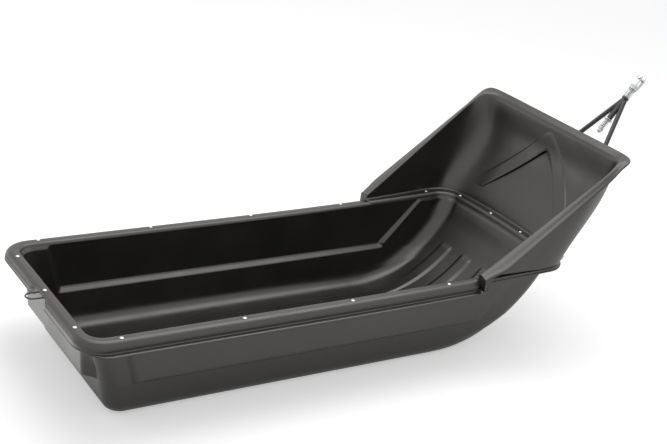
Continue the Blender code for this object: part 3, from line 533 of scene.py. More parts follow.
# Snow deflector: a second sheet of the same plastic, 3.5 mm thick, on a foot that is riveted to
# the rim. Its open edge is turned out into a stepped flange, and its front has a triangular
# panel pressed forwards inside a low frame.
DEFLECTOR_SHEET, FOOT_LIFT, FOOT_BEND = 0.0035, 0.0038, 0.0065
DEFLECTOR_REAR, REAR_BEND = 0.606, 0.004
TAB_Z, TAB_INNER = 0.2925, 0.3798  # its flange ends behind in a tab that reaches down past the rim
TAB_RUN, TAB_FADE, TAB_OVERLAP = 0.012, 0.018, 0.0015
SKIRT_ROWS = 4
FOOT_FRONT, FOOT_CORNER = 1.031, 0.095
TOP_FRONT, TOP_CORNER, TOP_HEIGHT = 1.147, 0.070, 0.711
CORNER_STEPS, SIDE_STEPS = 30, 30
FLANGE_HALF = (0.401, 0.4205)  # how far out its edge lies: at the rear end, and ahead of it
CURVE_START, CURVE_FADE = 0.80, 0.079  # where its foot starts to follow the curve of the bow
BULGE_TOP, BULGE_ROUND = 0.8, 1.3  # its front bulges forwards up to this share of its height
PANEL_DEPTH, PANEL_FRAME, PANEL_EASE = 0.0125, 0.0038, 0.62
PANEL_RUN, PANEL_FADE = 0.16, 0.09  # heights over which the pressing deepens and ends
PANEL_TURN, TURN_FADE = 55, 35  # degrees round the corner at which it starts
PANEL_LEAST = 0.14  # the least share of a column's height that the panel and its frame each take
EDGE_IN, EDGE_OUT = (0.0042, 0.03), (0.0062, 0.028)  # half its edges' width, and the greatest share
PANEL_INNER = (0.6224, 1.08, 0.0107)  # height at the middle, slope, rounding of its tip
PANEL_OUTER = (0.7120, 1.135, 0.0240)
FLANGE_STEPS = (  # how far across the flange, and how far above its straight line
    (0.30, 0.0022), (0.42, 0.0021), (0.50, 0.0018), (0.57, 0.0011), (0.64, 0.0005), (0.71, 0.0001),
    (0.80, 0.0), (0.90, 0.0), (0.95, -0.0004), (0.98, -0.0013), (0.995, -0.0026), (1.0, -0.0042),
    (1.0, -0.0060),
)
CROWN = rim_line((ROLL_WIDE, 0.0, ROLL_WIDE, 0.0))


def opening(x):
    return RIM_TOP + SHEET + 0.731 * (x - 0.5747)


def foot_half(x):
    return 0.3603 + 0.052 * (x - 0.625)


def top_half(x):
    return 0.3603 + 0.0775 * (x - 0.610)


def soft_corner(front, radius, half, t):
    """A corner that tightens slowly: its plan point and the way it faces, in degrees."""
    reach, pull = 1.6 * radius, 0.845
    a = Vector((front, half(front - radius) - reach))
    b = Vector((front, a.y + pull * reach))
    d = Vector((front - reach, half(front - reach)))
    c = Vector((d.x + pull * reach, half(d.x + pull * reach)))
    at = a * (1 - t) ** 3 + b * 3 * t * (1 - t) ** 2 + c * 3 * t * t * (1 - t) + d * t**3
    way = (b - a) * (1 - t) ** 2 + (c - b) * 2 * t * (1 - t) + (d - c) * t * t
    return at, max(atan2(way.y, -way.x) * 180 / pi, 0.0)


def deflector_columns():
    """Foot point, top point and heading of each column, from the middle to the rear end."""
    foot_y = soft_corner(FOOT_FRONT, FOOT_CORNER, foot_half, 0)[0].y
    top_y = soft_corner(TOP_FRONT, TOP_CORNER, top_half, 0)[0].y
    columns = []
    across = [0.0035 * k for k in range(12)] + [0.042 + 0.0085 * k for k in range(29)]
    for y in [y for y in across if y < foot_y - 0.004]:
        columns.append((Vector((FOOT_FRONT, y)), Vector((TOP_FRONT, top_y * y / foot_y, TOP_HEIGHT)), 90))
    for step in range(CORNER_STEPS + 1):
        foot, _ = soft_corner(FOOT_FRONT, FOOT_CORNER, foot_half, step / CORNER_STEPS)
        top, turn = soft_corner(TOP_FRONT, TOP_CORNER, top_half, step / CORNER_STEPS)
        height = mix(opening(top.x), TOP_HEIGHT, ease(turn / 90))
        columns.append((foot, Vector((*top, height)), turn))
    rear = DEFLECTOR_REAR + REAR_BEND
    for step in range(1, SIDE_STEPS + 1):
        part = 1 - (1 - step / SIDE_STEPS) ** 1.25
        foot_x, top_x = mix(foot.x, rear, part), mix(top.x, rear, part)
        edge = Vector((top_x, top_half(top_x), opening(top_x)))
        columns.append((Vector((foot_x, foot_half(foot_x))), edge, 0))
    return columns


def through(value, knots):
    """A smooth curve through (value, result) knots."""
    slopes = [(b[1] - a[1]) / (b[0] - a[0]) for a, b in zip(knots[:-1], knots[1:])]
    bends = [slopes[0], *[(p + q) / 2 for p, q in zip(slopes[:-1], slopes[1:])], slopes[-1]]
    for k, (a, b) in enumerate(zip(knots[:-1], knots[1:])):
        if value <= b[0]:
            span = b[0] - a[0]
            t = (value - a[0]) / span
            lift = bends[k] * t * (1 - t) ** 2 - bends[k + 1] * t * t * (1 - t)
            return mix(a[1], b[1], ease(t)) + span * lift
    return knots[-1][1]


def flange(x, turn):
    """How wide the turned-out edge is, and how far it rises over that width."""
    behind = ease((x - DEFLECTOR_REAR) / 0.08)
    wide = mix(*FLANGE_HALF, behind) - top_half(x)
    wide += through(turn, ((0, 0.0), (20, 0.0086), (45, 0.0251), (65, 0.0164), (90, 0.0077)))
    if not turn:
        return wide, mix(-0.006, -0.0155, behind)
    rises = ((0, -0.0155), (20, -0.0010), (45, 0.0143), (65, 0.0217), (90, 0.0257))
    return wide, through(turn, rises)


def to_crown(base, out):
    """How far in from the foot's bend the crown of the rim lies."""
    for a, b in zip(CROWN[:-1], CROWN[1:]):
        way, off = b - a, base - a
        across = out.x * way.y - out.y * way.x
        if across:
            share = (off.y * out.x - off.x * out.y) / across
            if -1e-4 <= share <= 1 + 1e-4:
                return (off.x * way.y - off.y * way.x) / across
    return 0.0173


def crossing(line, start, top):
    """How far up a column a panel edge crosses it, as a share of its height."""
    middle, slope, rounding = line
    low = middle - slope * hypot(start.y, rounding)
    return (low - start.z) / (top.z - start.z + slope * (top.y - start.y))


def foot_roll(base, out):
    """The foot: up round the rim's inner roll, across its top and up into the wall."""
    rolled = to_crown(base, out)
    wrap, end_lift, steepest = 0.0133, 0.0014, 60
    points = []
    for degrees in (steepest, 52, 44, 35, 26, 17, 8):
        lift = mix(FOOT_LIFT, end_lift, ease(degrees / steepest))
        along = rolled + (wrap + lift) * sin(radians(degrees))
        drop = ROLL_DEEP + FOOT_LIFT - (ROLL_DEEP + lift) * cos(radians(degrees))
        points.append(base - out * along - Vector((0.0, 0.0, drop)))
    points += [base - out * along for along in (rolled, rolled * 0.65, FOOT_BEND)]
    for point in points:
        point.z += sheer(point.x) - sheer(base.x)
    for cosine, sine in arc(90, 5, 1):
        points.append(base - out * FOOT_BEND * (1 - sine))
        points[-1].z += FOOT_BEND * (1 - cosine)
    return points


def pressed_edge(at, half, before, after, corner):
    """(share of the way up, depth) over one edge of the pressing."""
    rows = []
    for k in range(9):
        turned = rounded_step(k / 8 * 1.5 - 0.25, corner, corner)
        rows.append((at + half * (k / 4 - 1), mix(before, after, turned)))
    return rows


def wall_rows(start, top, turn):
    """(share of the way up, depth) for a column: the pressed panel, its frame and the plain rest."""
    tall, length = top.z - start.z, (top - start).length
    last = 1 - min(0.012 / length, 0.4)
    middle = crossing(PANEL_INNER, start, top)
    inner = max(middle, PANEL_LEAST)
    outer = min(max(crossing(PANEL_OUTER, start, top), inner + PANEL_LEAST), last - 0.02)
    strength = ease(middle * tall / PANEL_FADE) * ease((turn - PANEL_TURN) / TURN_FADE)
    edge_in, edge_out = [min(wide / length, share) for wide, share in (EDGE_IN, EDGE_OUT)]
    deep, raised = PANEL_DEPTH * strength, -PANEL_FRAME * strength
    rows = []
    for k in range(15):
        share = (inner - edge_in) * k / 15
        shallow = mix(PANEL_EASE, 1.0, ease((inner - share) * tall / PANEL_FADE))
        rows.append((share, deep * ease(share * tall / PANEL_RUN) * shallow))
    before = deep * ease(inner * tall / PANEL_RUN) * PANEL_EASE
    rows += pressed_edge(inner, edge_in, before, raised, 0.2)
    rows += [(mix(inner + edge_in, outer - edge_out, k / 5), raised) for k in range(1, 5)]
    rows += pressed_edge(outer, edge_out, raised, 0.0, 0.25)
    return rows + [(mix(outer + edge_out, last, k / 8), 0.0) for k in range(1, 9)]


def flange_points(below, top, out, turn):
    """The bend at the top of the wall, the stepped flange and the skirt that hangs from its edge."""
    wide, fall = flange(top.x, turn)
    lip = out * wide + Vector((0.0, 0.0, fall))
    beyond = top + lip * 0.22 + Vector((0.0, 0.0, 0.0022))
    points = []
    for t in (0.2, 0.36, 0.5, 0.64, 0.8, 1.0):
        points.append(below * (1 - t) ** 2 + (top + lip * 0.02) * 2 * t * (1 - t) + beyond * t * t)
    points += [top + lip * across + Vector((0.0, 0.0, rise)) for across, rise in FLANGE_STEPS]
    edge = points[-1]
    free = 1.0 if turn else ease((top.x - DEFLECTOR_REAR - TAB_RUN) / TAB_FADE)
    low = mix(TAB_Z, edge.z - 0.001, free)
    for k in range(1, SKIRT_ROWS + 1):
        points.append(Vector((edge.x, edge.y, mix(edge.z, low, k / SKIRT_ROWS))))
    return points


def deflector_column(foot, top, turn):
    out = Vector((sin(radians(turn)), cos(radians(turn)), 0.0))
    curved = 1.0 if turn else ease((foot.x - CURVE_START) / CURVE_FADE)
    foot.x -= BOW_CURVE * foot.y**2 * curved
    points = foot_roll(Vector((*foot, RIM_TOP + sheer(foot.x) + FOOT_LIFT)), out)
    start = points.pop()
    for share, sink in wall_rows(start, top, turn):
        bulge = sin(pi / 2 * min(share / BULGE_TOP, 1.0)) ** BULGE_ROUND
        point = start.lerp(top, share)
        point.x = mix(start.x, top.x, mix(share, bulge, ease(turn / 90)))
        points.append(point + out * sink)
    return points + flange_points(points[-1], top, out, turn)


def on_rim(y):
    """The height at which the tab's rear wall meets the rim below it."""
    over = min(max((y - RIM_FOOT - RIM_FLAT) / OUTER_WIDE, 0.0), 1.0)
    drop = OUTER_DEEP * (1 - sqrt(1 - over * over))
    top = RIM_TOP + sheer(DEFLECTOR_REAR) - TAB_OVERLAP
    return max(top - drop, TAB_Z) if y < TAB_INNER else TAB_Z


def tab_end(column):
    """Rounds the rear end of the flange and closes it down to the rim."""
    ends = []
    for cosine, sine in arc(90, 3, 1):
        bent = Vector((REAR_BEND * sine, 0.0, REAR_BEND * (1 - cosine)))
        ends.append([point - bent for point in column])
    for end in ends:
        for point in end[-SKIRT_ROWS:]:
            point.z = max(point.z, TAB_Z)
    outermost = ends[2][-SKIRT_ROWS - 1 :]
    for step in range(1, SKIRT_ROWS + 1):
        closed = [point.copy() for point in ends[2][: -SKIRT_ROWS - 1]]
        for point in closed:
            point.z = mix(point.z, min(on_rim(point.y), point.z), step / SKIRT_ROWS)
        ends.append(closed + [outermost[max(k, step)].copy() for k in range(SKIRT_ROWS + 1)])
    return ends


columns = [deflector_column(*column) for column in deflector_columns()]
columns += tab_end(columns[-1])
deflector = sheet_object("deflector", [[list(row) for row in zip(*columns)]], [], DEFLECTOR_SHEET)
fit(deflector, plastic, "plastic", "sled", "snow_deflector")

# Rim frame: one steel tube, 19 mm across, bent round under the rim and welded shut, with black
# powder coat. The rivets clamp the rim to it.
TUBE_RADIUS = 0.0095
RIVET_HALF, RIVET_FRONT, RIVET_REAR = 0.355, 1.009, -0.811
FRAME_BENDS, BEND_STEPS, SIDE_PARTS = (0.075, 0.074), 16, 24
FRAME_CURVE, FRAME_FADE = 0.90, 0.03  # ahead of this the tube follows the curve of the bow
CLEAR = 0.0003  # what fits round or against another piece stands off it by this


def skin(rings, capped=True, shift=None):
    """A mesh from each ring of points to the next, and over the two ends. A ring may be one point;
    shift joins the last ring to the first, turned by that many points."""
    work = bmesh.new()
    rings = [[work.verts.new(point) for point in ring] for ring in rings]
    if shift is not None:
        rings.append([*rings[0][shift:], *rings[0][:shift]])
    for low, high in zip(rings[:-1], rings[1:]):
        sides = max(len(low), len(high))
        for k in range(sides):
            j = (k + 1) % sides
            corners = [low[k % len(low)], low[j % len(low)], high[j % len(high)], high[k % len(high)]]
            corners = list(dict.fromkeys(corners))
            if len(corners) > 2:
                work.faces.new(corners)
    if capped:
        work.faces.new(list(reversed(rings[0])))
        work.faces.new(rings[-1])
    return work


def swept(points, radius, sides, closed=False):
    """A round bar along a line of points; radius is one number or one for each point."""
    points = [Vector(point) for point in points]
    count = len(points)
    radii = radius if isinstance(radius, list) else [radius] * count
    circle = arc(360, sides)[:-1]
    rings = []
    across = None
    for i, point in enumerate(points):
        ahead = points[(i + 1) % count] if closed or i + 1 < count else point
        behind = points[i - 1] if closed or i else point
        way = (ahead - behind).normalized()
        if across is None:
            across = way.orthogonal().normalized()
        across = (across - way * across.dot(way)).normalized()
        other = way.cross(across)
        rings.append([point + (across * cosine + other * sine) * radii[i] for cosine, sine in circle])
    if not closed:
        return skin(rings)
    shift = min(range(sides), key=lambda k: (rings[0][k] - rings[-1][0]).length)
    return skin(rings, capped=False, shift=shift)


def turned(profile, sides=32, outline=None):
    """Turns (radius, height) points about Z; outline limits the radius to a hexagon's flats."""
    rings = []
    for radius, height in profile:
        ring = []
        for k, (cosine, sine) in enumerate(arc(360, sides)[: -1 if radius else 1]):
            wide = min(radius, outline(2 * pi * k / sides)) if outline else radius
            ring.append((wide * cosine, wide * sine, height))
        rings.append(ring)
    return skin(rings, capped=False)


def hexagon(corner_radius):
    flat = corner_radius * cos(pi / 6)
    return lambda angle: flat / cos((angle + pi / 6) % (pi / 3) - pi / 6)


def made_piece(name, works, place=None, sharp=40):
    """One object of several closed meshes, put in place in the object's own frame."""
    whole = bmesh.new()
    for work in works:
        bmesh.ops.recalc_face_normals(work, faces=work.faces)
        part = bpy.data.meshes.new(name)
        work.to_mesh(part)
        work.free()
        whole.from_mesh(part)
        bpy.data.meshes.remove(part)
    mesh = bpy.data.meshes.new(name)
    whole.to_mesh(mesh)
    whole.free()
    mesh.transform(Matrix.Translation((SHIFT, 0.0, 0.0)) @ (place or Matrix()))
    mesh.shade_smooth()
    mesh.set_sharp_from_angle(angle=radians(sharp))
    piece = bpy.data.objects.new(name, mesh)
    bpy.context.scene.collection.objects.link(piece)
    return piece


powder_coat = finished(
    "black_powder_coat",
    colours=((0.0085, 0.0085, 0.0090), (0.0125, 0.0125, 0.0130)),
    roughness=(0.30, 0.09),
    scales=(22.0, 1400.0),
    bump=(0.35, 0.0002),
    Specular_IOR_Level=0.7,
)


def black(piece, body, node):
    fit(piece, powder_coat, "black_paint", body, node)


def frame_level(x):
    return RIM_TOP + sheer(x) - SHEET - CLEAR - TUBE_RADIUS


def frame_line():
    """The tube's middle line, once round."""
    front_bend, rear_bend = FRAME_BENDS
    front, rear = RIVET_FRONT - front_bend, RIVET_REAR + rear_bend
    inner = RIVET_HALF - front_bend
    half = [(RIVET_FRONT, inner * k / 10) for k in range(1, 10)]
    quarter = arc(90, BEND_STEPS)
    half += [(front + front_bend * cosine, inner + front_bend * sine) for cosine, sine in quarter]
    half += [(mix(front, rear, k / SIDE_PARTS), RIVET_HALF) for k in range(1, SIDE_PARTS)]
    inner = RIVET_HALF - rear_bend
    half += [(rear - rear_bend * sine, inner + rear_bend * cosine) for cosine, sine in quarter]
    half = [(x - BOW_CURVE * y * y * ease((x - FRAME_CURVE) / FRAME_FADE), y) for x, y in half]
    loop = [(RIVET_FRONT, 0.0), *half, (RIVET_REAR, 0.0), *[(x, -y) for x, y in reversed(half)]]
    return [(x, y, frame_level(x)) for x, y in loop]


rim_tube = swept(frame_line(), TUBE_RADIUS, 20, closed=True)
black(made_piece("rim_tube", [rim_tube]), "sled", "rim_frame")

# Rivets: seventeen bare aluminium blind rivets with 13 mm domed heads. Each goes through the rim
# and the tube, and is drawn up to a bulb below it; the pin breaks off inside the head.
SIDE_RIVETS = (-0.706, -0.299, 0.098, 0.486, 0.885)
FRONT_RIVETS = (-0.274, -0.091, 0.091, 0.274)
REAR_RIVETS = (-0.253, 0.0, 0.253)
bare_aluminium = finished(
    "bare_aluminium",
    colours=((0.84, 0.84, 0.85), (0.74, 0.74, 0.76)),
    roughness=(0.24, 0.10),
    scales=(180.0, 2600.0),
    bump=(0.2, 0.0001),
    Metallic=1.0,
)


def rivet(name, x, y):
    lift = CLEAR + (FOOT_LIFT if x > DROP_END else 0.0)
    foot = -(SHEET + 2 * CLEAR + 2 * TUBE_RADIUS + lift)
    profile = [(0.0, 0.0014), (0.0011, 0.0014), (0.0013, 0.0021), (0.0016, 0.0027)]
    profile += [(0.0016 + 0.0046 * sine, 0.0007 + 0.0020 * cosine) for cosine, sine in arc(90, 8, 1)]
    profile += [(0.0065, 0.0005), (0.0065, 0.0001), (0.0063, 0.0), (0.0024, 0.0), (0.0024, foot)]
    profile += [(0.0034, foot - 0.0003), (0.0038, foot - 0.0013), (0.0034, foot - 0.0026)]
    profile += [(0.0022, foot - 0.0034), (0.0, foot - 0.0035)]
    place = Matrix.Translation((x, y, RIM_TOP + sheer(x) + lift))
    place @= Matrix.Rotation(-atan(2 * SHEER * max(x, 0.0)), 4, "Y")
    fit(made_piece(f"{name}_head", [turned(profile, 24)], place), bare_aluminium, "rivets", "sled", name)


for i, x in enumerate(SIDE_RIVETS, 1):
    rivet(f"rivet_near_{i}", x, -RIVET_HALF)
    rivet(f"rivet_far_{i}", x, RIVET_HALF)
for i, y in enumerate(FRONT_RIVETS, 1):
    rivet(f"rivet_front_{i}", RIVET_FRONT - BOW_CURVE * y * y, y)
for i, y in enumerate(REAR_RIVETS, 1):
    rivet(f"rivet_rear_{i}", RIVET_REAR, y)

# Rear tow loop: a 5.4 mm rod bent to a ring, coated black, and welded by its two ends to the rim
# tube. It stands out through the notch that is pressed in the rear rim.
LOOP_ROD, LOOP_RADIUS, LOOP_CENTRE = 0.0027, 0.0205, -0.8515
LOOP_WELD, LOOP_WELD_SIZE = 0.003, 0.0016


def weld_bead(start, end, size, ripple=0.0016):
    """A seam of overlapping weld drops from one point to another."""
    start, end = Vector(start), Vector(end)
    length = (end - start).length
    steps = max(int(length / 0.0004), 6)
    radii = []
    for k in range(steps + 1):
        ends = min(k, steps - k) / steps * length / size
        fade = sqrt(max(1 - (1 - min(ends, 1.0)) ** 2, 0.02))
        radii.append(size * fade * (0.88 + 0.12 * cos(2 * pi * k / steps * length / ripple)))
    return swept([start.lerp(end, k / steps) for k in range(steps + 1)], radii, 10)


loop_level, loop_end = frame_level(0.0), RIVET_REAR - TUBE_RADIUS
loop_line = [(loop_end, LOOP_RADIUS, loop_level)]
for cosine, sine in arc(180, 36):
    loop_line.append((LOOP_CENTRE - LOOP_RADIUS * sine, LOOP_RADIUS * cosine, loop_level))
loop_line.append((loop_end, -LOOP_RADIUS, loop_level))
loop_works = [swept(loop_line, LOOP_ROD, 16)]
for y in (-LOOP_RADIUS, LOOP_RADIUS):
    x, z = loop_end - 2 * CLEAR, loop_level + 0.0022
    loop_works.append(weld_bead((x, y - LOOP_WELD, z), (x, y + LOOP_WELD, z), LOOP_WELD_SIZE))
black(made_piece("tow_ring", loop_works), "sled", "rear_tow_loop")

# Hitch brackets: on each side a channel of 4 mm plate, welded to the front of the rim tube, with
# an M8 bolt and a lock nut through its cheeks.
PIVOT_X, PIVOT_Z, PIVOT_HALF = 1.081, 0.294, 0.234
EYE_HALF, CHEEK = 0.0150, 0.004
BRACKET_TOP, BRACKET_WELD, BRACKET_FOOT = 0.3165, 0.3065, (1.030, 0.296)
BRACKET_CLEAR = EYE_HALF + CLEAR
BRACKET_HALF = BRACKET_CLEAR + CHEEK
BRACKET_SEAM, BRACKET_SEAM_SIZE = 0.017, 0.0021
CHEEK_ROUND = 0.012
BOLT_CORNER, BOLT_RADIUS = 0.0075, 0.004


def plate(outline, low, high, edge=0.0005):
    """A flat plate in the XZ plane from low to high in Y, its edges broken."""
    outline = [Vector(point) for point in outline]
    middle = sum(outline, Vector((0.0, 0.0))) / len(outline)
    rings = []
    for y, pull in ((low, edge), (low + edge, 0.0), (high - edge, 0.0), (high, edge)):
        ring = [point + (middle - point).normalized() * pull for point in outline]
        rings.append([(x, y, z) for x, z in ring])
    return skin(rings)


bright_zinc = finished(
    "bright_zinc",
    colours=((0.66, 0.67, 0.68), (0.58, 0.585, 0.575)),
    roughness=(0.18, 0.12),
    scales=(90.0, 1800.0),
    bump=(0.25, 0.0001),
    Metallic=1.0,
)


def zinc(piece, body, node):
    fit(piece, bright_zinc, "zinc", body, node)


weld = RIVET_FRONT - BOW_CURVE * (PIVOT_HALF - BRACKET_HALF) ** 2 + TUBE_RADIUS + CLEAR
cheek = [(weld, BRACKET_WELD), (weld, BRACKET_TOP), (1.044, BRACKET_TOP)]
for k in range(19):
    turn = radians(65 - 10 * k)
    cheek.append((PIVOT_X + CHEEK_ROUND * cos(turn), PIVOT_Z + CHEEK_ROUND * sin(turn)))
cheek += [(1.068, 0.2862), BRACKET_FOOT]
web = [(weld + 0.0002, BRACKET_WELD), (weld + 0.0002, BRACKET_TOP)]
web += [(BRACKET_FOOT[0], BRACKET_TOP), BRACKET_FOOT]
out = BRACKET_HALF + CLEAR
bolt = [(0.0, out + 0.0051), (0.0052, out + 0.0053), (0.0063, out + 0.0053)]
bolt += [(BOLT_CORNER, out + 0.0046), (BOLT_CORNER, out + 0.0004), (0.0062, out), (BOLT_RADIUS, out)]
bolt += [(BOLT_RADIUS, -out - 0.0085), (0.0034, -out - 0.0092), (0.0, -out - 0.0092)]
nut = [(0.0043, -out), (0.0064, -out), (BOLT_CORNER, -out - 0.0008), (BOLT_CORNER, -out - 0.0046)]
nut += [(0.0062, -out - 0.0050), (0.0059, -out - 0.0060), (0.0052, -out - 0.0067)]
nut += [(0.0043, -out - 0.0068), (0.0043, -out)]
for side, name in ((-1, "near"), (1, "far")):
    y = side * PIVOT_HALF
    works = [
        plate(cheek, y - BRACKET_HALF, y - BRACKET_CLEAR),
        plate(cheek, y + BRACKET_CLEAR, y + BRACKET_HALF),
        plate(web, y - BRACKET_CLEAR - 0.001, y + BRACKET_CLEAR + 0.001, 0.0002),
    ]
    for z in (BRACKET_TOP - 0.0002, BRACKET_WELD + 0.0003):
        seam = [(weld - 0.0006, at, z) for at in (y - BRACKET_SEAM, y + BRACKET_SEAM)]
        works.append(weld_bead(*seam, BRACKET_SEAM_SIZE))
    black(made_piece(f"bracket_{name}", works), "sled", f"hitch_lug_{name}")
    place = Matrix.Translation((PIVOT_X, y, PIVOT_Z)) @ Matrix.Rotation(-pi / 2 * side, 4, "X")
    for piece, profile in (("bolt", bolt), ("nut", nut)):
        work = turned(profile, 48, hexagon(BOLT_CORNER))
        zinc(made_piece(f"{piece}_{name}", [work], place, 25), "sled", f"pivot_{piece}_{name}")

# Drawbar: two 18 mm tubes welded to a sleeve, coated black. Each swings on its bolt in an eye
# with a nylon bush; here it stands up at 50.8 degrees, held by the tight lock nuts.
BAR_ANGLE, APEX = radians(50.8), 0.660
EYE_RADIUS, BUSH_RADIUS, BOLT_BORE = 0.011, 0.006, 0.0043
LEG_RADIUS, LEG_END, LEG_SIDES, LEG_ROWS = 0.009, 0.644, 32, 26
SLEEVE_RADIUS, SLEEVE_REAR, SLEEVE_FRONT = 0.0110, 0.551, 0.6507
COLLAR_RADIUS, COLLAR_REAR, COLLAR_FRONT = 0.0142, 0.6510, 0.6590
ROD_RADIUS = 0.006
ROD_BORE = ROD_RADIUS + CLEAR
bar_place = Matrix.Translation((PIVOT_X, 0.0, PIVOT_Z)) @ Matrix.Rotation(-BAR_ANGLE, 4, "Y")
along_bar = bar_place @ Matrix.Rotation(pi / 2, 4, "Y")
nylon = finished(
    "natural_nylon",
    colours=((0.72, 0.71, 0.66), (0.66, 0.65, 0.60)),
    roughness=(0.36, 0.10),
    scales=(120.0, 1500.0),
    bump=(0.2, 0.0001),
    Subsurface_Weight=0.15,
)


def pipe(outer, inner, low, high, edge=0.0006, sides=40):
    """A turned tube with broken edges."""
    profile = [(inner + edge / 2, low), (outer - edge, low), (outer, low + edge)]
    profile += [(outer, high - edge), (outer - edge, high), (inner + edge / 2, high)]
    profile += [(inner, high - edge / 2), (inner, low + edge / 2), (inner + edge / 2, low)]
    return turned(profile, sides)


def leg(side):
    """A tube whose two ends are cut to sit on the eye and on the sleeve."""
    start = Vector((0.0, side * PIVOT_HALF, 0.0))
    way = Vector((APEX, -side * PIVOT_HALF, 0.0)).normalized()
    across, up = Vector((way.y, -way.x, 0.0)) * side, Vector((0.0, 0.0, 1.0))
    rings = []
    for row in range(LEG_ROWS + 1):
        ring = []
        for cosine, sine in arc(360, LEG_SIDES)[:-1]:
            out = (across * cosine + up * sine) * LEG_RADIUS
            low = (sqrt((EYE_RADIUS + CLEAR) ** 2 - out.z**2) - out.x) / way.x
            wall = sqrt((SLEEVE_RADIUS + CLEAR) ** 2 - out.z**2)
            high = min((side * start.y + side * out.y - wall) / (-side * way.y), LEG_END / way.x)
            ring.append(start + way * mix(low, high, row / LEG_ROWS) + out)
        rings.append(ring)
    ends = [[sum(ring, Vector()) / LEG_SIDES] for ring in (rings[0], rings[-1])]
    return skin([ends[0], *rings, ends[1]], capped=False), rings[0], rings[-1]


def bead_round(line, size, ripple=0.0018):
    """A weld bead along a line of points, swelling and thinning as its drops do."""
    fine = [a.lerp(b, k / 4) for a, b in zip(line[:-1], line[1:]) for k in range(4)]
    fine.append(line[-1])
    run, radii = 0.0, []
    for k, point in enumerate(fine):
        run += (point - fine[k - 1]).length if k else 0.0
        ends = min(k, len(fine) - 1 - k) / 5
        radii.append(size * (0.9 + 0.1 * cos(2 * pi * run / ripple)) * min(0.2 + ends, 1.0))
    return swept(fine, radii, 8)


for side, name in ((-1, "near"), (1, "far")):
    eye_place = Matrix.Translation((0.0, side * PIVOT_HALF, 0.0)) @ Matrix.Rotation(pi / 2, 4, "X")
    eye_place = bar_place @ eye_place
    eye = pipe(EYE_RADIUS, BUSH_RADIUS + CLEAR, -EYE_HALF, EYE_HALF)
    bush = pipe(BUSH_RADIUS, BOLT_BORE, -EYE_HALF, EYE_HALF, 0.0004)
    black(made_piece(f"eye_{name}", [eye], eye_place), "drawbar", f"drawbar_eye_{name}")
    bush = made_piece(f"bush_{name}", [bush], eye_place)
    fit(bush, nylon, "nylon", "drawbar", f"pivot_bush_{name}")
    tube, foot, seat = leg(side)
    works = [tube, bead_round([*foot, foot[0]], 0.0014)]
    for over in (1, -1):
        seam = sorted([p for p in seat if over * p.z > 0.0035], key=lambda p: p.x)
        works.append(bead_round(seam, 0.0013))
    black(made_piece(f"leg_{name}", works, bar_place), "drawbar", f"drawbar_leg_{name}")
sleeve = pipe(SLEEVE_RADIUS, ROD_BORE, SLEEVE_REAR, SLEEVE_FRONT)
collar = pipe(COLLAR_RADIUS, ROD_BORE, COLLAR_REAR, COLLAR_FRONT, 0.0010)
black(made_piece("sleeve", [sleeve], along_bar), "drawbar", "drawbar_sleeve")
black(made_piece("collar", [collar], along_bar), "drawbar", "drawbar_collar")

# Tow rod and springs: an M12 rod slides in the sleeve between two springs of 2.8 mm wire. Wide
# washers spread the springs' load, and a lock nut holds the rear one; all zinc-plated.
WIRE = 0.0014
REAR_SEAT, FRONT_SEAT = (0.5033, 0.5477), (0.6593, 0.6990)
WIDE_WASHER, SMALL_WASHER, WASHER_THICK = 0.0185, 0.0120, 0.0027
PITCH, THREAD_DEPTH, THREAD_SIDES = 0.00175, 0.00075, 28
NUT_CORNER, NUT_BORE = 0.0105, 0.0063


def spring_line(radius, low, high, turns):
    """A compression spring with closed ends."""
    dead = 0.85
    whole = turns + 2 * dead
    span = high - low - 2 * WIRE
    tight = 2.1 * WIRE * dead / span
    rises = ((0.0, 0.0), (dead, tight), (whole - dead, 1 - tight), (whole, 1.0))
    steps = int(whole * 30)
    points = []
    for k in range(steps + 1):
        turn = whole * k / steps
        angle = 2 * pi * turn
        x = low + WIRE + span * between(turn, rises)
        points.append((x, radius * cos(angle), radius * sin(angle)))
    return points


def washer(name, node, body, radius, start):
    ring = pipe(radius, ROD_BORE, start, start + WASHER_THICK, CLEAR, 56)
    zinc(made_piece(name, [ring], along_bar), body, node)


for name, radius, seats, turns, held_by in (
    ("rear", 0.0108, REAR_SEAT, 5.0, ("damper", "drawbar")),
    ("front", 0.0128, FRONT_SEAT, 4.4, ("drawbar", "damper")),
):
    wire = swept(spring_line(radius, *seats, turns), WIRE, 12)
    coil = made_piece(f"coil_{name}", [wire], bar_place, 60)
    coil.data.materials.append(bright_zinc)
    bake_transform(coil)
    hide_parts(f"{name}_spring")
washer("washer_at_sleeve", "sleeve_washer", "drawbar", WIDE_WASHER, REAR_SEAT[1] + CLEAR)
washer("washer_at_nut", "rear_washer", "damper", SMALL_WASHER, REAR_SEAT[0] - CLEAR - WASHER_THICK)
washer("washer_at_fork", "front_washer", "damper", WIDE_WASHER, FRONT_SEAT[1] + CLEAR)


def threaded(low, high):
    """A length of the rod with its screw thread, along Z."""
    rows = int((high - low) / (PITCH / 6))
    rings = []
    for row in range(rows + 1):
        z = low + (high - low) * row / rows
        runout = min(row, rows - row) / 5
        ring = []
        for k, (cosine, sine) in enumerate(arc(360, THREAD_SIDES)[:-1]):
            phase = (z / PITCH - k / THREAD_SIDES) % 1.0
            cut = THREAD_DEPTH * (1 - abs(2 * phase - 1)) ** 0.8
            wide = ROD_RADIUS - cut * min(runout, 1.0) - (0.0005 if runout == 0 else 0.0)
            ring.append((wide * cosine, wide * sine, z))
        rings.append(ring)
    return skin(rings)


